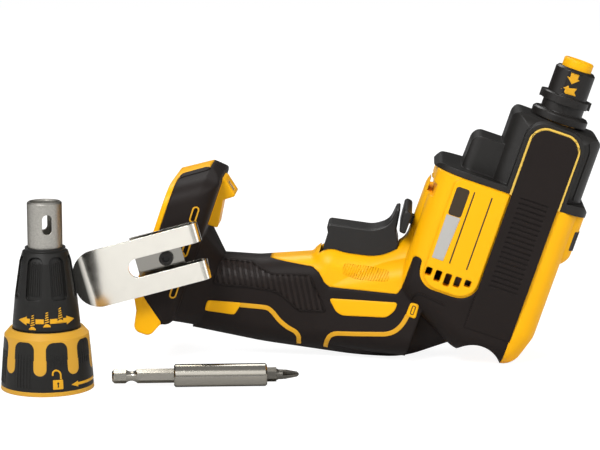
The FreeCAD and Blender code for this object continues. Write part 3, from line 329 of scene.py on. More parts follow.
def moulded(name, colour, roughness, grain, relief, mottle, specular, soft=1.0, lift=1.0):
    """Moulded plastic or rubber: spark-eroded grain breaks the gloss, and the melt gives a drift of tone.

    Grain and relief are in millimetres, mottle is the drift of tone, soft widens the rounding of the edges,
    and lift lightens the colour. Real grain is near 0.1 mm, and is drawn coarser so that it shows.
    """
    drift, gloss_spread, strength = 35.0, 0.06, 0.5
    colour = shade(colour, lift)[:3]
    sizes = bpy.context.scene.screwdriver_sizes
    material, tree, output, place = started(name)
    fine = add(tree, "ShaderNodeTexNoise", {"Scale": per_metre(grain), "Detail": 3.0, "Roughness": 0.6},
               {"Vector": place})
    cloud = add(tree, "ShaderNodeTexNoise", {"Scale": per_metre(drift), "Detail": 4.0}, {"Vector": place})
    tone = add(tree, "ShaderNodeMix", {"A": shade(colour, 1 - mottle), "B": shade(colour, 1 + mottle)},
               {"Factor": cloud.outputs["Fac"]}, data_type="RGBA")
    gloss = add(tree, "ShaderNodeMapRange",
                {"To Min": roughness - gloss_spread, "To Max": roughness + gloss_spread},
                {"Value": fine.outputs["Fac"]})
    edge = add(tree, "ShaderNodeBevel", {"Radius": soft * sizes.edge_round}, samples=6)
    bump = add(tree, "ShaderNodeBump", {"Strength": strength, "Distance": relief * MM},
               {"Height": fine.outputs["Fac"], "Normal": edge.outputs["Normal"]})
    shader = add(tree, "ShaderNodeBsdfPrincipled", {"IOR": 1.5, "Specular IOR Level": specular},
                 {"Base Color": tone.outputs["Result"], "Roughness": gloss.outputs["Result"],
                  "Normal": bump.outputs["Normal"]})
    tree.links.new(shader.outputs["BSDF"], output.inputs["Surface"])
    return material


def worked_steel(name, colour, roughness, stretch, relief, spread=0.1, dark=(), rim=1.0):
    """Bare metal with tool marks: a grain drawn out along the work streaks the reflection.

    Spread is the change of tone along the grain. Stretches of depth in dark, in millimetres with a level of
    tone, have their colour darkened as painted shade, and rim is the edge tint of the metal's gloss. Real
    marks are finer than 0.1 mm, and are drawn coarser so that they show.
    """
    mark, duller, shinier, strength, edge_round = 2.0, 0.07, 0.05, 0.25, 0.25
    material, tree, output, place = started(name)
    marks = add(tree, "ShaderNodeMapping", {"Scale": stretch}, {"Vector": place})
    grain = add(tree, "ShaderNodeTexNoise", {"Scale": per_metre(mark), "Detail": 5.0, "Roughness": 0.65},
                {"Vector": marks.outputs["Vector"]})
    tone = add(tree, "ShaderNodeMix", {"A": shade(colour, 1 - spread), "B": shade(colour, 1 + spread)},
               {"Factor": grain.outputs["Fac"]}, data_type="RGBA")
    depth = add(tree, "ShaderNodeSeparateXYZ", None, {"Vector": place})
    # Painted shade: each stretch of depth darkens the colour towards its level
    for start, end, level in dark:
        painted_shade_mask = add(tree, "ShaderNodeMapRange", {"From Min": start * MM, "From Max": end * MM},
                   {"Value": depth.outputs["Y"]})
        tone = add(tree, "ShaderNodeMix", {"B": shade(colour, level)},
                   {"Factor": painted_shade_mask.outputs["Result"], "A": tone.outputs["Result"]}, data_type="RGBA")
    gloss = add(tree, "ShaderNodeMapRange", {"To Min": roughness - shinier, "To Max": roughness + duller},
                {"Value": grain.outputs["Fac"]})
    edge = add(tree, "ShaderNodeBevel", {"Radius": edge_round * MM}, samples=4)
    bump = add(tree, "ShaderNodeBump", {"Strength": strength, "Distance": relief * MM},
               {"Height": grain.outputs["Fac"], "Normal": edge.outputs["Normal"]})
    shader = add(tree, "ShaderNodeBsdfPrincipled", {"Metallic": 1.0, "Specular Tint": (rim, rim, rim, 1)},
                 {"Base Color": tone.outputs["Result"], "Roughness": gloss.outputs["Result"],
                  "Normal": bump.outputs["Normal"]})
    tree.links.new(shader.outputs["BSDF"], output.inputs["Surface"])
    return material


def clear_lens(name, colour):
    """Clear polycarbonate over a lamp: glossy, with an inner fluting; its pale cream tint is painted light
    for the bright lamp behind it.
    """
    flute, depth, strength = 1.2, 0.1, 0.3
    bands = 20 / (2 * math.pi)  # that a wave texture of scale 1 has in each unit
    material, tree, output, place = started(name)
    flutes = add(tree, "ShaderNodeTexWave", {"Scale": per_metre(flute) / bands, "Distortion": 0.2},
                 {"Vector": place})
    bump = add(tree, "ShaderNodeBump", {"Strength": strength, "Distance": depth * MM},
               {"Height": flutes.outputs["Fac"]})
    shader = add(tree, "ShaderNodeBsdfPrincipled",
                 {"Base Color": shade(colour, 1), "Roughness": 0.12, "IOR": 1.58, "Transmission Weight": 0.5},
                 {"Normal": bump.outputs["Normal"]})
    tree.links.new(shader.outputs["BSDF"], output.inputs["Surface"])
    return material


# How each finish is made, its colour as a hex value or as one of ScrewdriverColours, and its numbers
RECIPES = {
    # ABS and nylon from a spark-eroded mould: a satin skin with broad, soft highlights
    "yellow_abs": (moulded, "casing", dict(
        roughness=0.40, grain=0.9, relief=0.05, mottle=0.03, specular=0.2, soft=2.5)),
    "black_nylon": (moulded, "case", dict(
        roughness=0.42, grain=1.1, relief=0.07, mottle=0.10, specular=0.38)),
    "pale_line": (moulded, "line", dict(
        roughness=0.42, grain=0.8, relief=0.02, mottle=0.04, specular=0.3)),
    "gold_trim": (moulded, "trim", dict(
        roughness=0.42, grain=0.8, relief=0.02, mottle=0.04, specular=0.3)),
    "collar_abs": (moulded, "cone", dict(
        roughness=0.46, grain=0.9, relief=0.04, mottle=0.06, specular=0.3)),
    "cone_nylon": (moulded, "#151412", dict(
        roughness=0.46, grain=1.1, relief=0.07, mottle=0.1, specular=0.27)),
    # Soft overmoulded rubber: duller than the plastic beside it; the pads' ribs are drawn paler, a painted
    # sheen for the light their edges catch
    "soft_rubber": (moulded, "rubber", dict(
        roughness=0.58, grain=1.0, relief=0.08, mottle=0.10, specular=0.16, soft=4.0)),
    "pad_rubber": (moulded, "rubber", dict(
        roughness=0.46, grain=1.0, relief=0.06, mottle=0.10, specular=0.2, lift=1.4)),
    "strip_rubber": (moulded, "rubber", dict(
        roughness=0.46, grain=1.0, relief=0.06, mottle=0.10, specular=0.17)),
    # Printed films and inks: even and nearly flat; the near-black of the foot's slots is painted shade
    "grey_label": (moulded, "label", dict(
        roughness=0.38, grain=1.4, relief=0.01, mottle=0.03, specular=0.3)),
    "dark_print": (moulded, "print_dark", dict(
        roughness=0.45, grain=1.4, relief=0.01, mottle=0.05, specular=0.25)),
    "slot_dark": (moulded, "#0E0A07", dict(
        roughness=0.6, grain=1.0, relief=0.03, mottle=0.1, specular=0.1)),
    # Black oxide over steel: a thin oily blackening with a low sheen
    "oxide_black": (moulded, "#181513", dict(
        roughness=0.38, grain=0.8, relief=0.03, mottle=0.12, specular=0.36)),
    # Sintered steel: a grey, open, speckled grain
    "sintered_steel": (worked_steel, "#B0ADA6", dict(
        roughness=0.38, stretch=(2.2, 2.2, 2.2), relief=0.25, spread=0.4, rim=0.1)),
    # Bright-drawn steel: long streaks, and bands of the room along the bar
    "drawn_steel": (worked_steel, "#9B978E", dict(
        roughness=0.18, stretch=(0.15, 6.0, 6.0), relief=0.02, rim=0.0)),
    # Plated spring strip: near to a mirror; painted shade darkens its base plate under the leaf, and a
    # painted dark reflection darkens the end of its tip
    "spring_steel": (worked_steel, "#F1EDE3", dict(
        roughness=0.14, stretch=(0.4, 1.0, 0.4), relief=0.01,
        dark=((-4.5, -3.0, 0.36), (-11.7, -12.2, 0.05)))),
    # Hardened bit steel: dull grey, with a sheen along its flutes
    "grey_bit_steel": (worked_steel, "#66635D", dict(
        roughness=0.34, stretch=(0.5, 2.0, 2.0), relief=0.02, rim=0.1)),
    # Ground steel, turned bronze and stacked laminations: rings around the axis catch the light
    "ground_steel": (worked_steel, "#A5A39F", dict(roughness=0.30, stretch=(1.0, 1.0, 4.0), relief=0.02)),
    "bronze": (worked_steel, "#B98C4C", dict(roughness=0.32, stretch=(1.0, 1.0, 5.0), relief=0.02)),
    "lamination": (worked_steel, "#5E5E60", dict(roughness=0.45, stretch=(1.0, 1.0, 14.0), relief=0.05)),
    # Polycarbonate: clear and glossy, with a pale cream tint of painted light for the lamp behind it
    "lens": (clear_lens, "#F3E3C4", {}),
}


def finish(name):
    """One material of each finish, made on first use."""
    made = bpy.data.materials.get(name)
    if made is None:
        recipe, colour, numbers = RECIPES[name]
        colours = bpy.context.scene.screwdriver_colours
        colour = linear(colour) if colour.startswith("#") else getattr(colours, colour)
        made = recipe(name, colour, **numbers)
    return made


def dress(finish_name, *names):
    """Gives carried-over solids their finish."""
    for name in names:
        NODES[name].data.materials.clear()
        NODES[name].data.materials.append(finish(finish_name))


# Operators; outlines and sizes in them are millimetres
class SCREWDRIVER_OT_casing(bpy.types.Operator):
    """Finish the casing halves, their soft grip, the gear case and the side strips"""

    bl_idname = "screwdriver.casing"
    bl_label = "Casing"

    def execute(self, context):
        dress("yellow_abs", "left_housing", "right_housing")
        dress("soft_rubber", "left_grip", "right_grip")
        dress("strip_rubber", "left_side_strip", "right_side_strip")
        dress("black_nylon", "gear_case")
        dress("pale_line", "left_strip_edge", "right_strip_edge")
        dress("oxide_black", "housing_screws")
        dress("lens", "lamp_lens")
        return {"FINISHED"}


class SCREWDRIVER_OT_case_trim(bpy.types.Operator):
    """Lay the outer lip of the side strips, the ridge beside them, and the pad across the shoulder"""

    bl_idname = "screwdriver.case_trim"
    bl_label = "Case trim"

    # Half width, foot, top and corner radius of the lip's middle line
    LIP, LIP_WIDE, LIP_PROUD = (13.12, 93.6, 131.62, 8.62), 1.3, 0.2
    RIDGE = [(19.8, 99.5), (19.8, 126), (17.5, 131)]
    RIDGE_BEND, RIDGE_WIDE, RIDGE_PROUD = 3.0, 0.9, 0.4
    # The pad's ends turn down over the shoulder on both flanks
    PAD, PAD_CORNER, PAD_PROUD = box(-19.5, 19.5, 73.6, 84.2), 1.5, 0.4
    PAD_END, END_CORNER, END_PROUD = box(26.2, 28.1, 73.6, 84.2), 0.6, 0.2

    def execute(self, context):
        lip = band(arch(*self.LIP), self.LIP_WIDE)
        ridge = band(rounded(self.RIDGE, self.RIDGE_BEND, closed=False), self.RIDGE_WIDE)
        pad_end = rounded(self.PAD_END, self.END_CORNER)
        for side, name in FLANKS:
            ray = flank(side)
            onto = surface(name + "_strip_edge", "gear_case")
            lay(name + "_strip_lip", lip, ray, onto, self.LIP_PROUD * MM, "black_nylon")
            onto = surface("gear_case")
            lay(name + "_case_ridge", ridge, ray, onto, self.RIDGE_PROUD * MM, "black_nylon")
            onto = surface(name + "_housing")
            lay(name + "_shoulder_edge", [pad_end], ray, onto, self.END_PROUD * MM, "black_nylon")
        onto = surface("left_housing", "right_housing")
        pad = rounded(self.PAD, self.PAD_CORNER)
        lay("shoulder_pad", [pad], crest, onto, self.PAD_PROUD * MM, "black_nylon")
        return {"FINISHED"}


class SCREWDRIVER_OT_grip_trim(bpy.types.Operator):
    """Lay the gold lines, tags and plaques on both sides of the grip"""

    bl_idname = "screwdriver.grip_trim"
    bl_label = "Grip trim"

    REAR_LINE = [(-129, -11.9), (-118.6, -9.3), (-113.1, -8.1), (-109.9, -9.4), (-104.6, -12.9),
                 (-99.5, -14.8), (-95.3, -15.4), (-92.6, -17.3), (-91.2, -22)]
    FRONT_LINE = [(-77.2, -19), (-77.7, -15.4), (-77.3, -11.4), (-74.9, -9), (-63.5, -4.8), (-49.3, 0.7),
                  (-45.6, 3.8), (-43.2, 8.4), (-42.2, 14.5)]
    LINE_BEND = 2.5
    REAR_TAG = [(-144.4, -20.5), (-144.8, -14.8), (-127, -10.1), (-127.6, -13.2), (-128.6, -17.5)]
    FRONT_TAG = [(-43.2, 14), (-43, 21.3), (-38.4, 22), (-37.8, 14)]
    PLAQUE = [(-84, 7.6), (-49.2, 18.8), (-49.2, 14.2), (-52.2, 9.1), (-74.5, 1.5), (-78.2, 2.2)]
    TAG_CORNER, PLAQUE_CORNER = 1.4, 2.0
    TAG_SLOT = [(-41.3, 15.6), (-41.3, 20.2), (-39.7, 20.2), (-39.7, 15.6)]
    SLOT_CORNER, SLOT_WIDE = 0.6, 0.45
    PLATE_RISE, SLOT_RISE = 1.2, 1.6  # of the lines' height

    def execute(self, context):
        sizes = context.scene.screwdriver_sizes
        lines = []
        for line in (self.REAR_LINE, self.FRONT_LINE):
            lines += band(rounded(line, self.LINE_BEND, closed=False), sizes.trim_wide / MM)
        plates = [rounded(self.REAR_TAG, self.TAG_CORNER), rounded(self.FRONT_TAG, self.TAG_CORNER),
                  rounded(self.PLAQUE, self.PLAQUE_CORNER)]
        slot = band(rounded(self.TAG_SLOT, self.SLOT_CORNER), self.SLOT_WIDE, closed=True)
        for side, name in FLANKS:
            ray, onto = flank(side), surface(name + "_grip", name + "_housing")
            lay(name + "_grip_lines", lines, ray, onto, sizes.trim_proud, "gold_trim")
            lay(name + "_grip_plates", plates, ray, onto, self.PLATE_RISE * sizes.trim_proud, "yellow_abs")
            lay(name + "_tag_slot", slot, ray, onto, self.SLOT_RISE * sizes.trim_proud, "dark_print")
        return {"FINISHED"}


class SCREWDRIVER_OT_grip_pads(bpy.types.Operator):
    """Lay the ribbed pads and their creases on the grip, and the hatching on the skirt under the trigger"""

    bl_idname = "screwdriver.grip_pads"
    bl_label = "Grip pads"

    PAD = [(-144.5, -4.7), (-136.6, -3.5), (-127.1, -0.8), (-114.2, 1.5), (-109.3, 1.1), (-103.7, -1.1),
           (-97.1, -4.1), (-84.2, 0.1), (-84.3, 1.3), (-97.6, 16), (-116.3, 9.9), (-123, 10.3),
           (-128.9, 11.8), (-144.8, 7.8)]
    PAD_CORNER, PAD_PROUD = 1.5, 0.15
    CREASE = [(-43.1, 23.4), (-42.9, 26), (-41.2, 27.8), (-39.3, 28.2), (-26.2, 26.8)]
    CREASE_BEND, CREASE_WIDE = 1.5, 0.7
    RIM_WIDE, RIM_PROUD = 1.0, 0.5
    HATCH = [(-83, 27.6), (-58.6, 32.9), (-57.6, 27.2), (-73, 22.3), (-81.2, 22)]
    HATCH_CORNER, HATCH_PROUD = 2.0, 0.15
    # Turn in degrees, pitch and width of the ribs
    PAD_RIBS, HATCH_RIBS, RIB_PROUD = (30, 2.9, 1.5), (-6, 1.3, 0.6), 0.5

    def execute(self, context):
        pad = rounded(self.PAD, self.PAD_CORNER)
        rim = band(pad, self.RIM_WIDE, closed=True)
        rim += band(rounded(self.CREASE, self.CREASE_BEND, closed=False), self.CREASE_WIDE)
        hatch = rounded(self.HATCH, self.HATCH_CORNER)
        for side, name in FLANKS:
            ray, onto = flank(side), surface(name + "_grip", name + "_housing")
            lay(name + "_grip_pad", [pad], ray, onto, self.PAD_PROUD * MM, "soft_rubber")
            # Painted sheen: the ribs are a paler copy of the grip's rubber
            lay(name + "_pad_ribs", [pad], ray, onto, self.RIB_PROUD * MM, "pad_rubber",
                ribs=self.PAD_RIBS)
            lay(name + "_pad_rim", rim, ray, onto, self.RIM_PROUD * MM, "soft_rubber")
            lay(name + "_hatching", [hatch], ray, onto, self.HATCH_PROUD * MM, "yellow_abs",
                ribs=self.HATCH_RIBS)
        return {"FINISHED"}


class SCREWDRIVER_OT_flank_marks(bpy.types.Operator):
    """Lay the blank label patches and the two stripes on the raised plate of each flank"""

    bl_idname = "screwdriver.flank_marks"
    bl_label = "Flank marks"

    TAG, TAG_CORNER = [(-40.5, 73), (-33.4, 73), (-33.4, 88.4), (-40.5, 88.4)], 1.6
    LABEL = [(-40.7, 48.7), (-34.6, 48.7), (-33.4, 72.8), (-40.9, 72.8)]
    STRIPES = [box(-31.3, -30.6, 48.6, 88.3), box(-21.8, -21.1, 48.3, 88.4)]

    def execute(self, context):
        proud = context.scene.screwdriver_sizes.print_proud
        dark = [rounded(self.TAG, self.TAG_CORNER)] + self.STRIPES
        for side, name in FLANKS:
            ray, onto = flank(side), surface(name + "_housing")
            lay(name + "_dark_print", dark, ray, onto, proud, "dark_print")
            lay(name + "_grey_label", [self.LABEL], ray, onto, proud, "grey_label")
        return {"FINISHED"}


class SCREWDRIVER_OT_foot(bpy.types.Operator):
    """Lay the yellow-edged slots, the boss plate and the toe's rubber on both sides of the battery foot"""

    bl_idname = "screwdriver.foot"
    bl_label = "Foot"

    OPENINGS = [(-164.9, 30.3), (-163.4, 11.5), (-162.3, -11.5)]
    WELL, EDGE = (2.6, 7.9), (2.9, 8.2)  # width and height
    EDGE_WIDE, EDGE_PROUD = 0.8, 0.3
    BOSS = [(-172, 7), (-170, 10.2), (-163.2, 9.4), (-162.6, 6), (-167.8, 3)]
    BOSS_CORNER, BOSS_PROUD = 1.0, 0.2
    TOE = [(-166.3, 52.9), (-168.2, 51.9), (-171.2, 49.9), (-174.2, 47.9), (-177.2, 45.9), (-178.7, 44.8),
           (-179.3, 43.8), (-178.6, 43.2), (-176.8, 44.6), (-175.2, 45.7), (-172.2, 47.7), (-169.2, 49.7),
           (-166.4, 51.6), (-165, 52.7)]
    TOE_PROUD, TOE_CELL = 0.6, 0.8

    def execute(self, context):
        print_proud = context.scene.screwdriver_sizes.print_proud
        wells = [oblong(middle, *self.WELL) for middle in self.OPENINGS]
        edges = []
        for middle in self.OPENINGS:
            edges += band(oblong(middle, *self.EDGE), self.EDGE_WIDE, closed=True)
        boss = rounded(self.BOSS, self.BOSS_CORNER)
        for side, name in FLANKS:
            ray, onto = flank(side), surface(name + "_grip", name + "_housing")
            # Painted shade: near-black patches where the slots' openings are dark inside
            lay(name + "_foot_wells", wells, ray, onto, print_proud, "slot_dark")
            lay(name + "_foot_edges", edges, ray, onto, self.EDGE_PROUD * MM, "gold_trim")
            lay(name + "_foot_boss", [boss], ray, onto, self.BOSS_PROUD * MM, "gold_trim")
            lay(name + "_toe_cover", [self.TOE], ray, onto, self.TOE_PROUD * MM, "soft_rubber",
                cell=self.TOE_CELL * MM)
        return {"FINISHED"}


class SCREWDRIVER_OT_controls(bpy.types.Operator):
    """Finish the trigger, the direction lever and what lies behind them"""

    bl_idname = "screwdriver.controls"
    bl_label = "Controls"

    def execute(self, context):
        dress("black_nylon", "trigger", "direction_lever", "trigger_switch", "control_module",
              "terminal_block")
        dress("bronze", "terminals")
        return {"FINISHED"}


class SCREWDRIVER_OT_drive(bpy.types.Operator):
    """Finish the motor, the gears and the clutch"""

    bl_idname = "screwdriver.drive"
    bl_label = "Drive"

    def execute(self, context):
        dress("lamination", "stator", "rotor_core")
        dress("ground_steel", "motor_shaft", "rear_bearing", "front_bearing", "drive_gear", "pinion",
              "spindle", "thrust_washer", "clutch_spring")
        dress("bronze", "spindle_bush", "gear_bush")
        dress("black_nylon", "fan")
        return {"FINISHED"}


class SCREWDRIVER_OT_nose(bpy.types.Operator):
    """Finish the bayonet nose and print its two arrows, push down and then turn, on three sides"""

    bl_idname = "screwdriver.nose"
    bl_label = "Nose"

    RADIUS, TURNS = 10.0, (0, 120, 240)
    PUSH = [(-2.7, 161.5), (1.7, 161.5), (1.6, 158.8), (2.9, 158.7), (-0.6, 155.5), (-4.0, 158.8),
            (-2.5, 158.8)]
    TURN = [(-4.9, 151.5), (-1.8, 154.5), (-1.2, 153.2), (2.8, 154.2), (2.2, 151.8), (3.4, 150.2),
            (-1.4, 149.9), (-1.7, 149.7)]

    def execute(self, context):
        dress("oxide_black", "nose_collar")
        dress("yellow_abs", "nose_ring")
        arrows = []
        for turn in self.TURNS:
            shift = math.radians(turn) * self.RADIUS
            arrows += [moved(arrow, shift, 0) for arrow in (self.PUSH, self.TURN)]
        ray, onto = turned(TOOL, self.RADIUS), surface("nose_collar")
        lay("nose_arrows", arrows, ray, onto, context.scene.screwdriver_sizes.print_proud, "gold_trim")
        return {"FINISHED"}


class SCREWDRIVER_OT_belt_hook(bpy.types.Operator):
    """Finish the belt hook and its screw"""

    bl_idname = "screwdriver.belt_hook"
    bl_label = "Belt hook"

    def execute(self, context):
        dress("spring_steel", "belt_hook")
        dress("oxide_black", "belt_hook_screw")
        return {"FINISHED"}


class SCREWDRIVER_OT_cone(bpy.types.Operator):
    """Finish the depth-setting nose cone, rib its adjuster and its pads, and print its signs"""

    bl_idname = "screwdriver.cone"
    bl_label = "Nose cone"

    # Ribs in the adjuster's recesses; turns are in degrees from the near side
    RECESS_RADIUS, RECESSES, FIRST_RECESS = 14.0, 7, 36.0
    RECESS_SPAN, RECESS_PROUD = (49, 66), 0.3
    RECESS_RIBS = dict(offsets=(-2.6, -1.3, 0, 1.3, 2.6), half=0.35, corner=0.3)

    # Ribs and round heads of the collar's rubber pads; ribs stop above the printed sign
    COLLAR_RADIUS, PADS, FIRST_PAD, SIGN_PADS = 23.0, 8, 22.5, (22.5, 67.5)
    RIBS_LOW, RIBS_OVER_SIGN, RIBS_HIGH, RIBS_PROUD = 4.0, 15.0, 21, 0.2
    PAD_RIBS = dict(offsets=(-3.6, -1.8, 0, 1.8, 3.6), half=0.3, corner=0.25)
    PAD_HEAD, HEAD_PROUD = (5.85, 18.0, 27.0, 4.0), 0.1

    # Depth scale on the adjuster: a double arrow, and screws on dark grounds
    ADJUSTER_RADIUS, SCALE_TURN, SCALE_HEIGHT = 16.6, 9.8, 36.9
    ARROW_HALF, ARROW_HEAD, ARROW_WING, ARROW_SHAFT = 16.1, 5.6, 2.2, 1.2
    SCREWS, SCREW_GROUND = ((-7.1, -0.5), (0.1, 1.0), (7.0, 2.9)), box(-1.5, 1.5, -3.2, 3.6)
    SCREW_HEAD = [(-1.9, -3.8), (1.9, -3.8), (1.7, -3.1), (0.6, -2.2), (-0.6, -2.2), (-1.7, -3.1)]
    THREADS, FIRST_THREAD, THREAD_PITCH, THREAD_HALF, THREAD_TAPER = 5, -1.9, 1.15, 1.15, 0.13
    THREAD = ((-1, 0), (1, 0.55), (1, 1.15), (-1, 0.6))  # side, and height over the thread's foot
    SECOND_COAT, THIRD_COAT = 1.6, 2.4  # of the print's height, where prints overlap

    # Lock sign on the collar, and the arrow towards it
    LOCK_TURN, LOCK, LOCK_CORNER = 22.6, box(-2.6, 2.6, 3.6, 8.4), 0.4
    SHACKLE = [(-2.6, 10.6), (-2.6, 12.2), (-1.5, 13.3), (0.3, 13.0), (1.5, 11.6), (1.5, 8.6)]
    SHACKLE_BEND, SHACKLE_WIDE = 1.0, 0.9
    KEYHOLE = [(-0.35, 4.6), (0.35, 4.6), (0.25, 6.0), (0.6, 6.6), (0, 7.4), (-0.6, 6.6), (-0.25, 6.0)]
    TIP_TURN = 40.0
    LOCK_ARROW = [(0, 5.2), (4.2, 6.7), (4.2, 5.9), (21, 5.9), (21, 4.5), (4.2, 4.5), (4.2, 3.7)]

    def execute(self, context):
        print_proud = context.scene.screwdriver_sizes.print_proud
        dress("collar_abs", "lock_collar")
        dress("cone_nylon", "lock_collar_grip", "depth_adjuster", "cone_sleeve")
        dress("sintered_steel", "locator_tube", "retaining_ring")
        self.recess_ribs()
        self.pads()
        self.scale(print_proud)
        self.lock_sign(print_proud)
        return {"FINISHED"}

    def recess_ribs(self):
        """Fine upright ribs in the recesses of the adjuster."""
        ribs = []
        for recess in range(self.RECESSES):
            middle = math.radians(self.FIRST_RECESS + 360 * recess / self.RECESSES) * self.RECESS_RADIUS
            ribs += upright_ribs(middle, *self.RECESS_SPAN, **self.RECESS_RIBS)
        ray, onto = turned(CONE, self.RECESS_RADIUS), surface("depth_adjuster")
        lay("adjuster_ribs", ribs, ray, onto, self.RECESS_PROUD * MM, "cone_nylon", "depth_adjuster")

    def pads(self):
        """Rounded heads of the rubber pads, and the fine upright ribs on them."""
        ribs, heads = [], []
        for pad in range(self.PADS):
            turn = self.FIRST_PAD + 360 * pad / self.PADS
            low = self.RIBS_OVER_SIGN if turn in self.SIGN_PADS else self.RIBS_LOW
            middle = math.radians(turn) * self.COLLAR_RADIUS
            ribs += upright_ribs(middle, low, self.RIBS_HIGH, **self.PAD_RIBS)
            heads.append(moved(arch(*self.PAD_HEAD), middle, 0))
        ray = turned(CONE, self.COLLAR_RADIUS)
        onto = surface("lock_collar_grip")
        lay("collar_ribs", ribs, ray, onto, self.RIBS_PROUD * MM, "cone_nylon", "lock_collar")
        onto = surface("lock_collar_grip", "lock_collar")
        lay("pad_heads", heads, ray, onto, self.HEAD_PROUD * MM, "cone_nylon", "lock_collar")

    def scale(self, proud):
        """Double arrow with three screws at rising depths."""
        middle, low = math.radians(self.SCALE_TURN) * self.ADJUSTER_RADIUS, self.SCALE_HEIGHT
        half, wing, shaft = self.ARROW_HALF, self.ARROW_WING, self.ARROW_SHAFT
        neck = half - self.ARROW_HEAD
        arrow = [(-half, 0), (-neck, wing), (-neck, shaft), (neck, shaft), (neck, wing), (half, 0),
                 (neck, -wing), (neck, -shaft), (-neck, -shaft), (-neck, -wing)]
        screws, grounds = [], []
        for u, v in self.SCREWS:
            screws += [moved(shape, middle + u, low + v) for shape in self.screw()]
            grounds.append(moved(self.SCREW_GROUND, middle + u, low + v))
        ray, onto = turned(CONE, self.ADJUSTER_RADIUS), surface("depth_adjuster")
        lay("depth_arrow", [moved(arrow, middle, low)], ray, onto, proud, "gold_trim", "depth_adjuster")
        lay("depth_grounds", grounds, ray, onto, self.SECOND_COAT * proud, "cone_nylon", "depth_adjuster")
        lay("depth_screws", screws, ray, onto, self.THIRD_COAT * proud, "gold_trim", "depth_adjuster")

    def screw(self):
        """Outlines of a screw sign: a countersunk head, and slanted threads up to the point."""
        shapes = [self.SCREW_HEAD]
        for k in range(self.THREADS):
            low = self.FIRST_THREAD + self.THREAD_PITCH * k
            wide = self.THREAD_HALF - self.THREAD_TAPER * k
            shapes.append([(side * wide, low + height) for side, height in self.THREAD])
        return shapes

    def lock_sign(self, proud):
        """Open padlock with the arrow towards it."""
        middle = math.radians(self.LOCK_TURN) * self.COLLAR_RADIUS
        tip = math.radians(self.TIP_TURN) * self.COLLAR_RADIUS
        shackle = rounded(moved(self.SHACKLE, middle, 0), self.SHACKLE_BEND, closed=False)
        faces = [rounded(moved(self.LOCK, middle, 0), self.LOCK_CORNER)]
        faces += band(shackle, self.SHACKLE_WIDE)
        faces.append(moved(self.LOCK_ARROW, tip, 0))
        keyhole = moved(self.KEYHOLE, middle, 0)
        ray, onto = turned(CONE, self.COLLAR_RADIUS), surface("lock_collar_grip", "lock_collar")
        lay("lock_sign", faces, ray, onto, proud, "gold_trim", "lock_collar")
        lay("lock_keyhole", [keyhole], ray, onto, self.SECOND_COAT * proud, "cone_nylon", "lock_collar")


class SCREWDRIVER_OT_bit(bpy.types.Operator):
    """Finish the bit holder and its bit"""

    bl_idname = "screwdriver.bit"
    bl_label = "Bit holder"

    def execute(self, context):
        dress("drawn_steel", "bit_holder")
        dress("lamination", "bit_magnet")
        dress("grey_bit_steel", "screwdriver_bit")
        return {"FINISHED"}


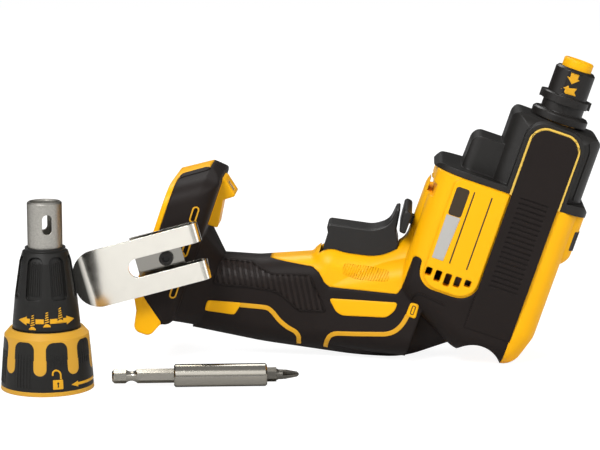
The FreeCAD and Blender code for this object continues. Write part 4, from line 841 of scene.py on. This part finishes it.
class SCREWDRIVER_OT_stage(bpy.types.Operator):
    """Set the floor, the light and the camera"""

    bl_idname = "screwdriver.stage"
    bl_label = "Stage"

    # Name, place and width in metres, watts, and whether it shows in reflections
    SOFTBOXES = [
        ("key", (-0.5, -1.15, 1.25), 0.7, 24.0, True),
        ("fill", (1.3, -0.9, 0.7), 0.8, 9.0, False),
        ("back", (-0.3, 1.0, 1.3), 0.7, 9.0, True),
    ]
    AIM = Vector((0, 0, 0.08))

    # Brightness of the room in reflections, from the far wall over the ceiling to the near wall
    ROOM = [(0.01, 0.025), (0.22, 0.03), (0.28, 0.15), (0.45, 0.24), (0.66, 0.2), (0.74, 0.95), (0.88, 0.95),
            (0.94, 0.24), (0.99, 0.2)]
    ROOM_GLOW, FILL_GLOW, WHITE = 1.9, 0.32, (1, 1, 1, 1)

    # White paper: its half width in metres, its tone, and how much of it the camera sees as plain white
    PAPER_HALF, PAPER_TONE, PLAIN_SHARE, PLAIN_GLOW = 4.0, (0.72, 0.72, 0.72, 1), 0.66, 1.38

    # Camera: turn and tilt in degrees, place from the tool's base in metres, and lens in millimetres
    YAW, PITCH, BACK, ASIDE, TALL, SENSOR, LENS = 3.1, 9.6, 1.209, -0.0934, 0.275, 36.0, 138.0

    def execute(self, context):
        self.floor()
        self.world()
        for name, spot, size, power, in_gloss in self.SOFTBOXES:
            data = bpy.data.lights.new(name, "AREA")
            data.size = size
            data.energy = power
            lamp = bpy.data.objects.new(name, data)
            lamp.location = spot
            lamp.rotation_euler = (self.AIM - Vector(spot)).to_track_quat("-Z", "Y").to_euler()
            lamp.visible_glossy = in_gloss
            context.scene.collection.objects.link(lamp)
        self.camera()
        context.scene.view_settings.view_transform = "Standard"
        return {"FINISHED"}

    def floor(self):
        """White paper: the camera sees most of it as plain white, and the rest keeps the shadow."""
        material, tree, output, _ = started("white_paper")
        sight = add(tree, "ShaderNodeLightPath")
        seen = add(tree, "ShaderNodeMath", {1: self.PLAIN_SHARE}, {0: sight.outputs["Is Camera Ray"]},
                   operation="MULTIPLY")
        paper = add(tree, "ShaderNodeBsdfDiffuse", {"Color": self.PAPER_TONE})
        plain = add(tree, "ShaderNodeEmission", {"Color": self.WHITE, "Strength": self.PLAIN_GLOW})
        mixed = add(tree, "ShaderNodeMixShader", None,
                    {0: seen.outputs["Value"], 1: paper.outputs["BSDF"], 2: plain.outputs["Emission"]})
        tree.links.new(mixed.outputs["Shader"], output.inputs["Surface"])
        mesh = bmesh.new()
        bmesh.ops.create_grid(mesh, x_segments=1, y_segments=1, size=self.PAPER_HALF)
        obj = placed("floor", mesh, material)

    def world(self):
        """White for the camera; a room whose far side is dark for reflections, and an even fill."""
        world = bpy.data.worlds.new("studio")
        bpy.context.scene.world = world
        world.use_nodes = True
        tree = world.node_tree
        tree.nodes.clear()
        output = add(tree, "ShaderNodeOutputWorld")
        sight = add(tree, "ShaderNodeLightPath")
        heading = add(tree, "ShaderNodeTexCoord").outputs["Generated"]
        parts = add(tree, "ShaderNodeSeparateXYZ", None, {"Vector": heading})
        turn = add(tree, "ShaderNodeMath", None, {0: parts.outputs["Z"], 1: parts.outputs["Y"]},
                   operation="ARCTAN2")
        sweep = add(tree, "ShaderNodeMath", {1: 1 / math.pi}, {0: turn.outputs["Value"]},
                    operation="MULTIPLY")
        glow = add(tree, "ShaderNodeValToRGB", None, {"Fac": sweep.outputs["Value"]})
        for spot, level in self.ROOM:
            glow.color_ramp.elements.new(spot).color = (level, level, level, 1)
        lit = add(tree, "ShaderNodeBackground", {"Color": self.WHITE, "Strength": self.FILL_GLOW})
        room = add(tree, "ShaderNodeBackground", {"Strength": self.ROOM_GLOW},
                   {"Color": glow.outputs["Color"]})
        plain = add(tree, "ShaderNodeBackground", {"Color": self.WHITE, "Strength": 1.0})
        rest = add(tree, "ShaderNodeMixShader", None,
                   {0: sight.outputs["Is Glossy Ray"], 1: lit.outputs["Background"],
                    2: room.outputs["Background"]})
        mixed = add(tree, "ShaderNodeMixShader", None,
                    {0: sight.outputs["Is Camera Ray"], 1: rest.outputs["Shader"],
                     2: plain.outputs["Background"]})
        tree.links.new(mixed.outputs["Shader"], output.inputs["Surface"])

    def camera(self):
        """A long lens at the photograph's height and angle, aimed from the tool's own place."""
        yaw, pitch = math.radians(self.YAW), math.radians(self.PITCH)
        base = TOOL.translation
        data = bpy.data.cameras.new("camera")
        data.sensor_width = self.SENSOR
        data.lens = self.LENS
        obj = bpy.data.objects.new("camera", data)
        obj.location = (base.x + self.ASIDE * math.cos(yaw) + self.BACK * math.sin(yaw),
                        base.y + self.ASIDE * math.sin(yaw) - self.BACK * math.cos(yaw), self.TALL)
        obj.rotation_euler = (math.pi / 2 - pitch, 0, yaw)
        bpy.context.scene.collection.objects.link(obj)
        bpy.context.scene.camera = obj


OPERATORS = (
    SCREWDRIVER_OT_casing,
    SCREWDRIVER_OT_case_trim,
    SCREWDRIVER_OT_grip_trim,
    SCREWDRIVER_OT_grip_pads,
    SCREWDRIVER_OT_flank_marks,
    SCREWDRIVER_OT_foot,
    SCREWDRIVER_OT_controls,
    SCREWDRIVER_OT_drive,
    SCREWDRIVER_OT_nose,
    SCREWDRIVER_OT_belt_hook,
    SCREWDRIVER_OT_cone,
    SCREWDRIVER_OT_bit,
    SCREWDRIVER_OT_stage,
)


class SCREWDRIVER_PT_panel(bpy.types.Panel):
    """Sidebar panel with the colours, the sizes and the steps"""

    bl_label = "Screwdriver"
    bl_idname = "SCREWDRIVER_PT_panel"
    bl_space_type = "VIEW_3D"
    bl_region_type = "UI"
    bl_category = "Screwdriver"

    def draw(self, context):
        layout = self.layout
        for group in (context.scene.screwdriver_colours, context.scene.screwdriver_sizes):
            for key in group.__annotations__:
                layout.prop(group, key)
        for operator in OPERATORS:
            layout.operator(operator.bl_idname)


CLASSES = (ScrewdriverColours, ScrewdriverSizes) + OPERATORS + (SCREWDRIVER_PT_panel,)


def register():
    """Adds the classes and the settings to Blender."""
    for cls in CLASSES:
        bpy.utils.register_class(cls)
    bpy.types.Scene.screwdriver_colours = PointerProperty(type=ScrewdriverColours)
    bpy.types.Scene.screwdriver_sizes = PointerProperty(type=ScrewdriverSizes)


def unregister():
    """Takes the settings and the classes out again."""
    del bpy.types.Scene.screwdriver_sizes
    del bpy.types.Scene.screwdriver_colours
    for cls in reversed(CLASSES):
        bpy.utils.unregister_class(cls)


def main():
    """Makes every piece."""
    register()
    for operator in OPERATORS:
        getattr(bpy.ops.screwdriver, operator.bl_idname.split(".")[1])()


if __name__ == "__main__":
    main()
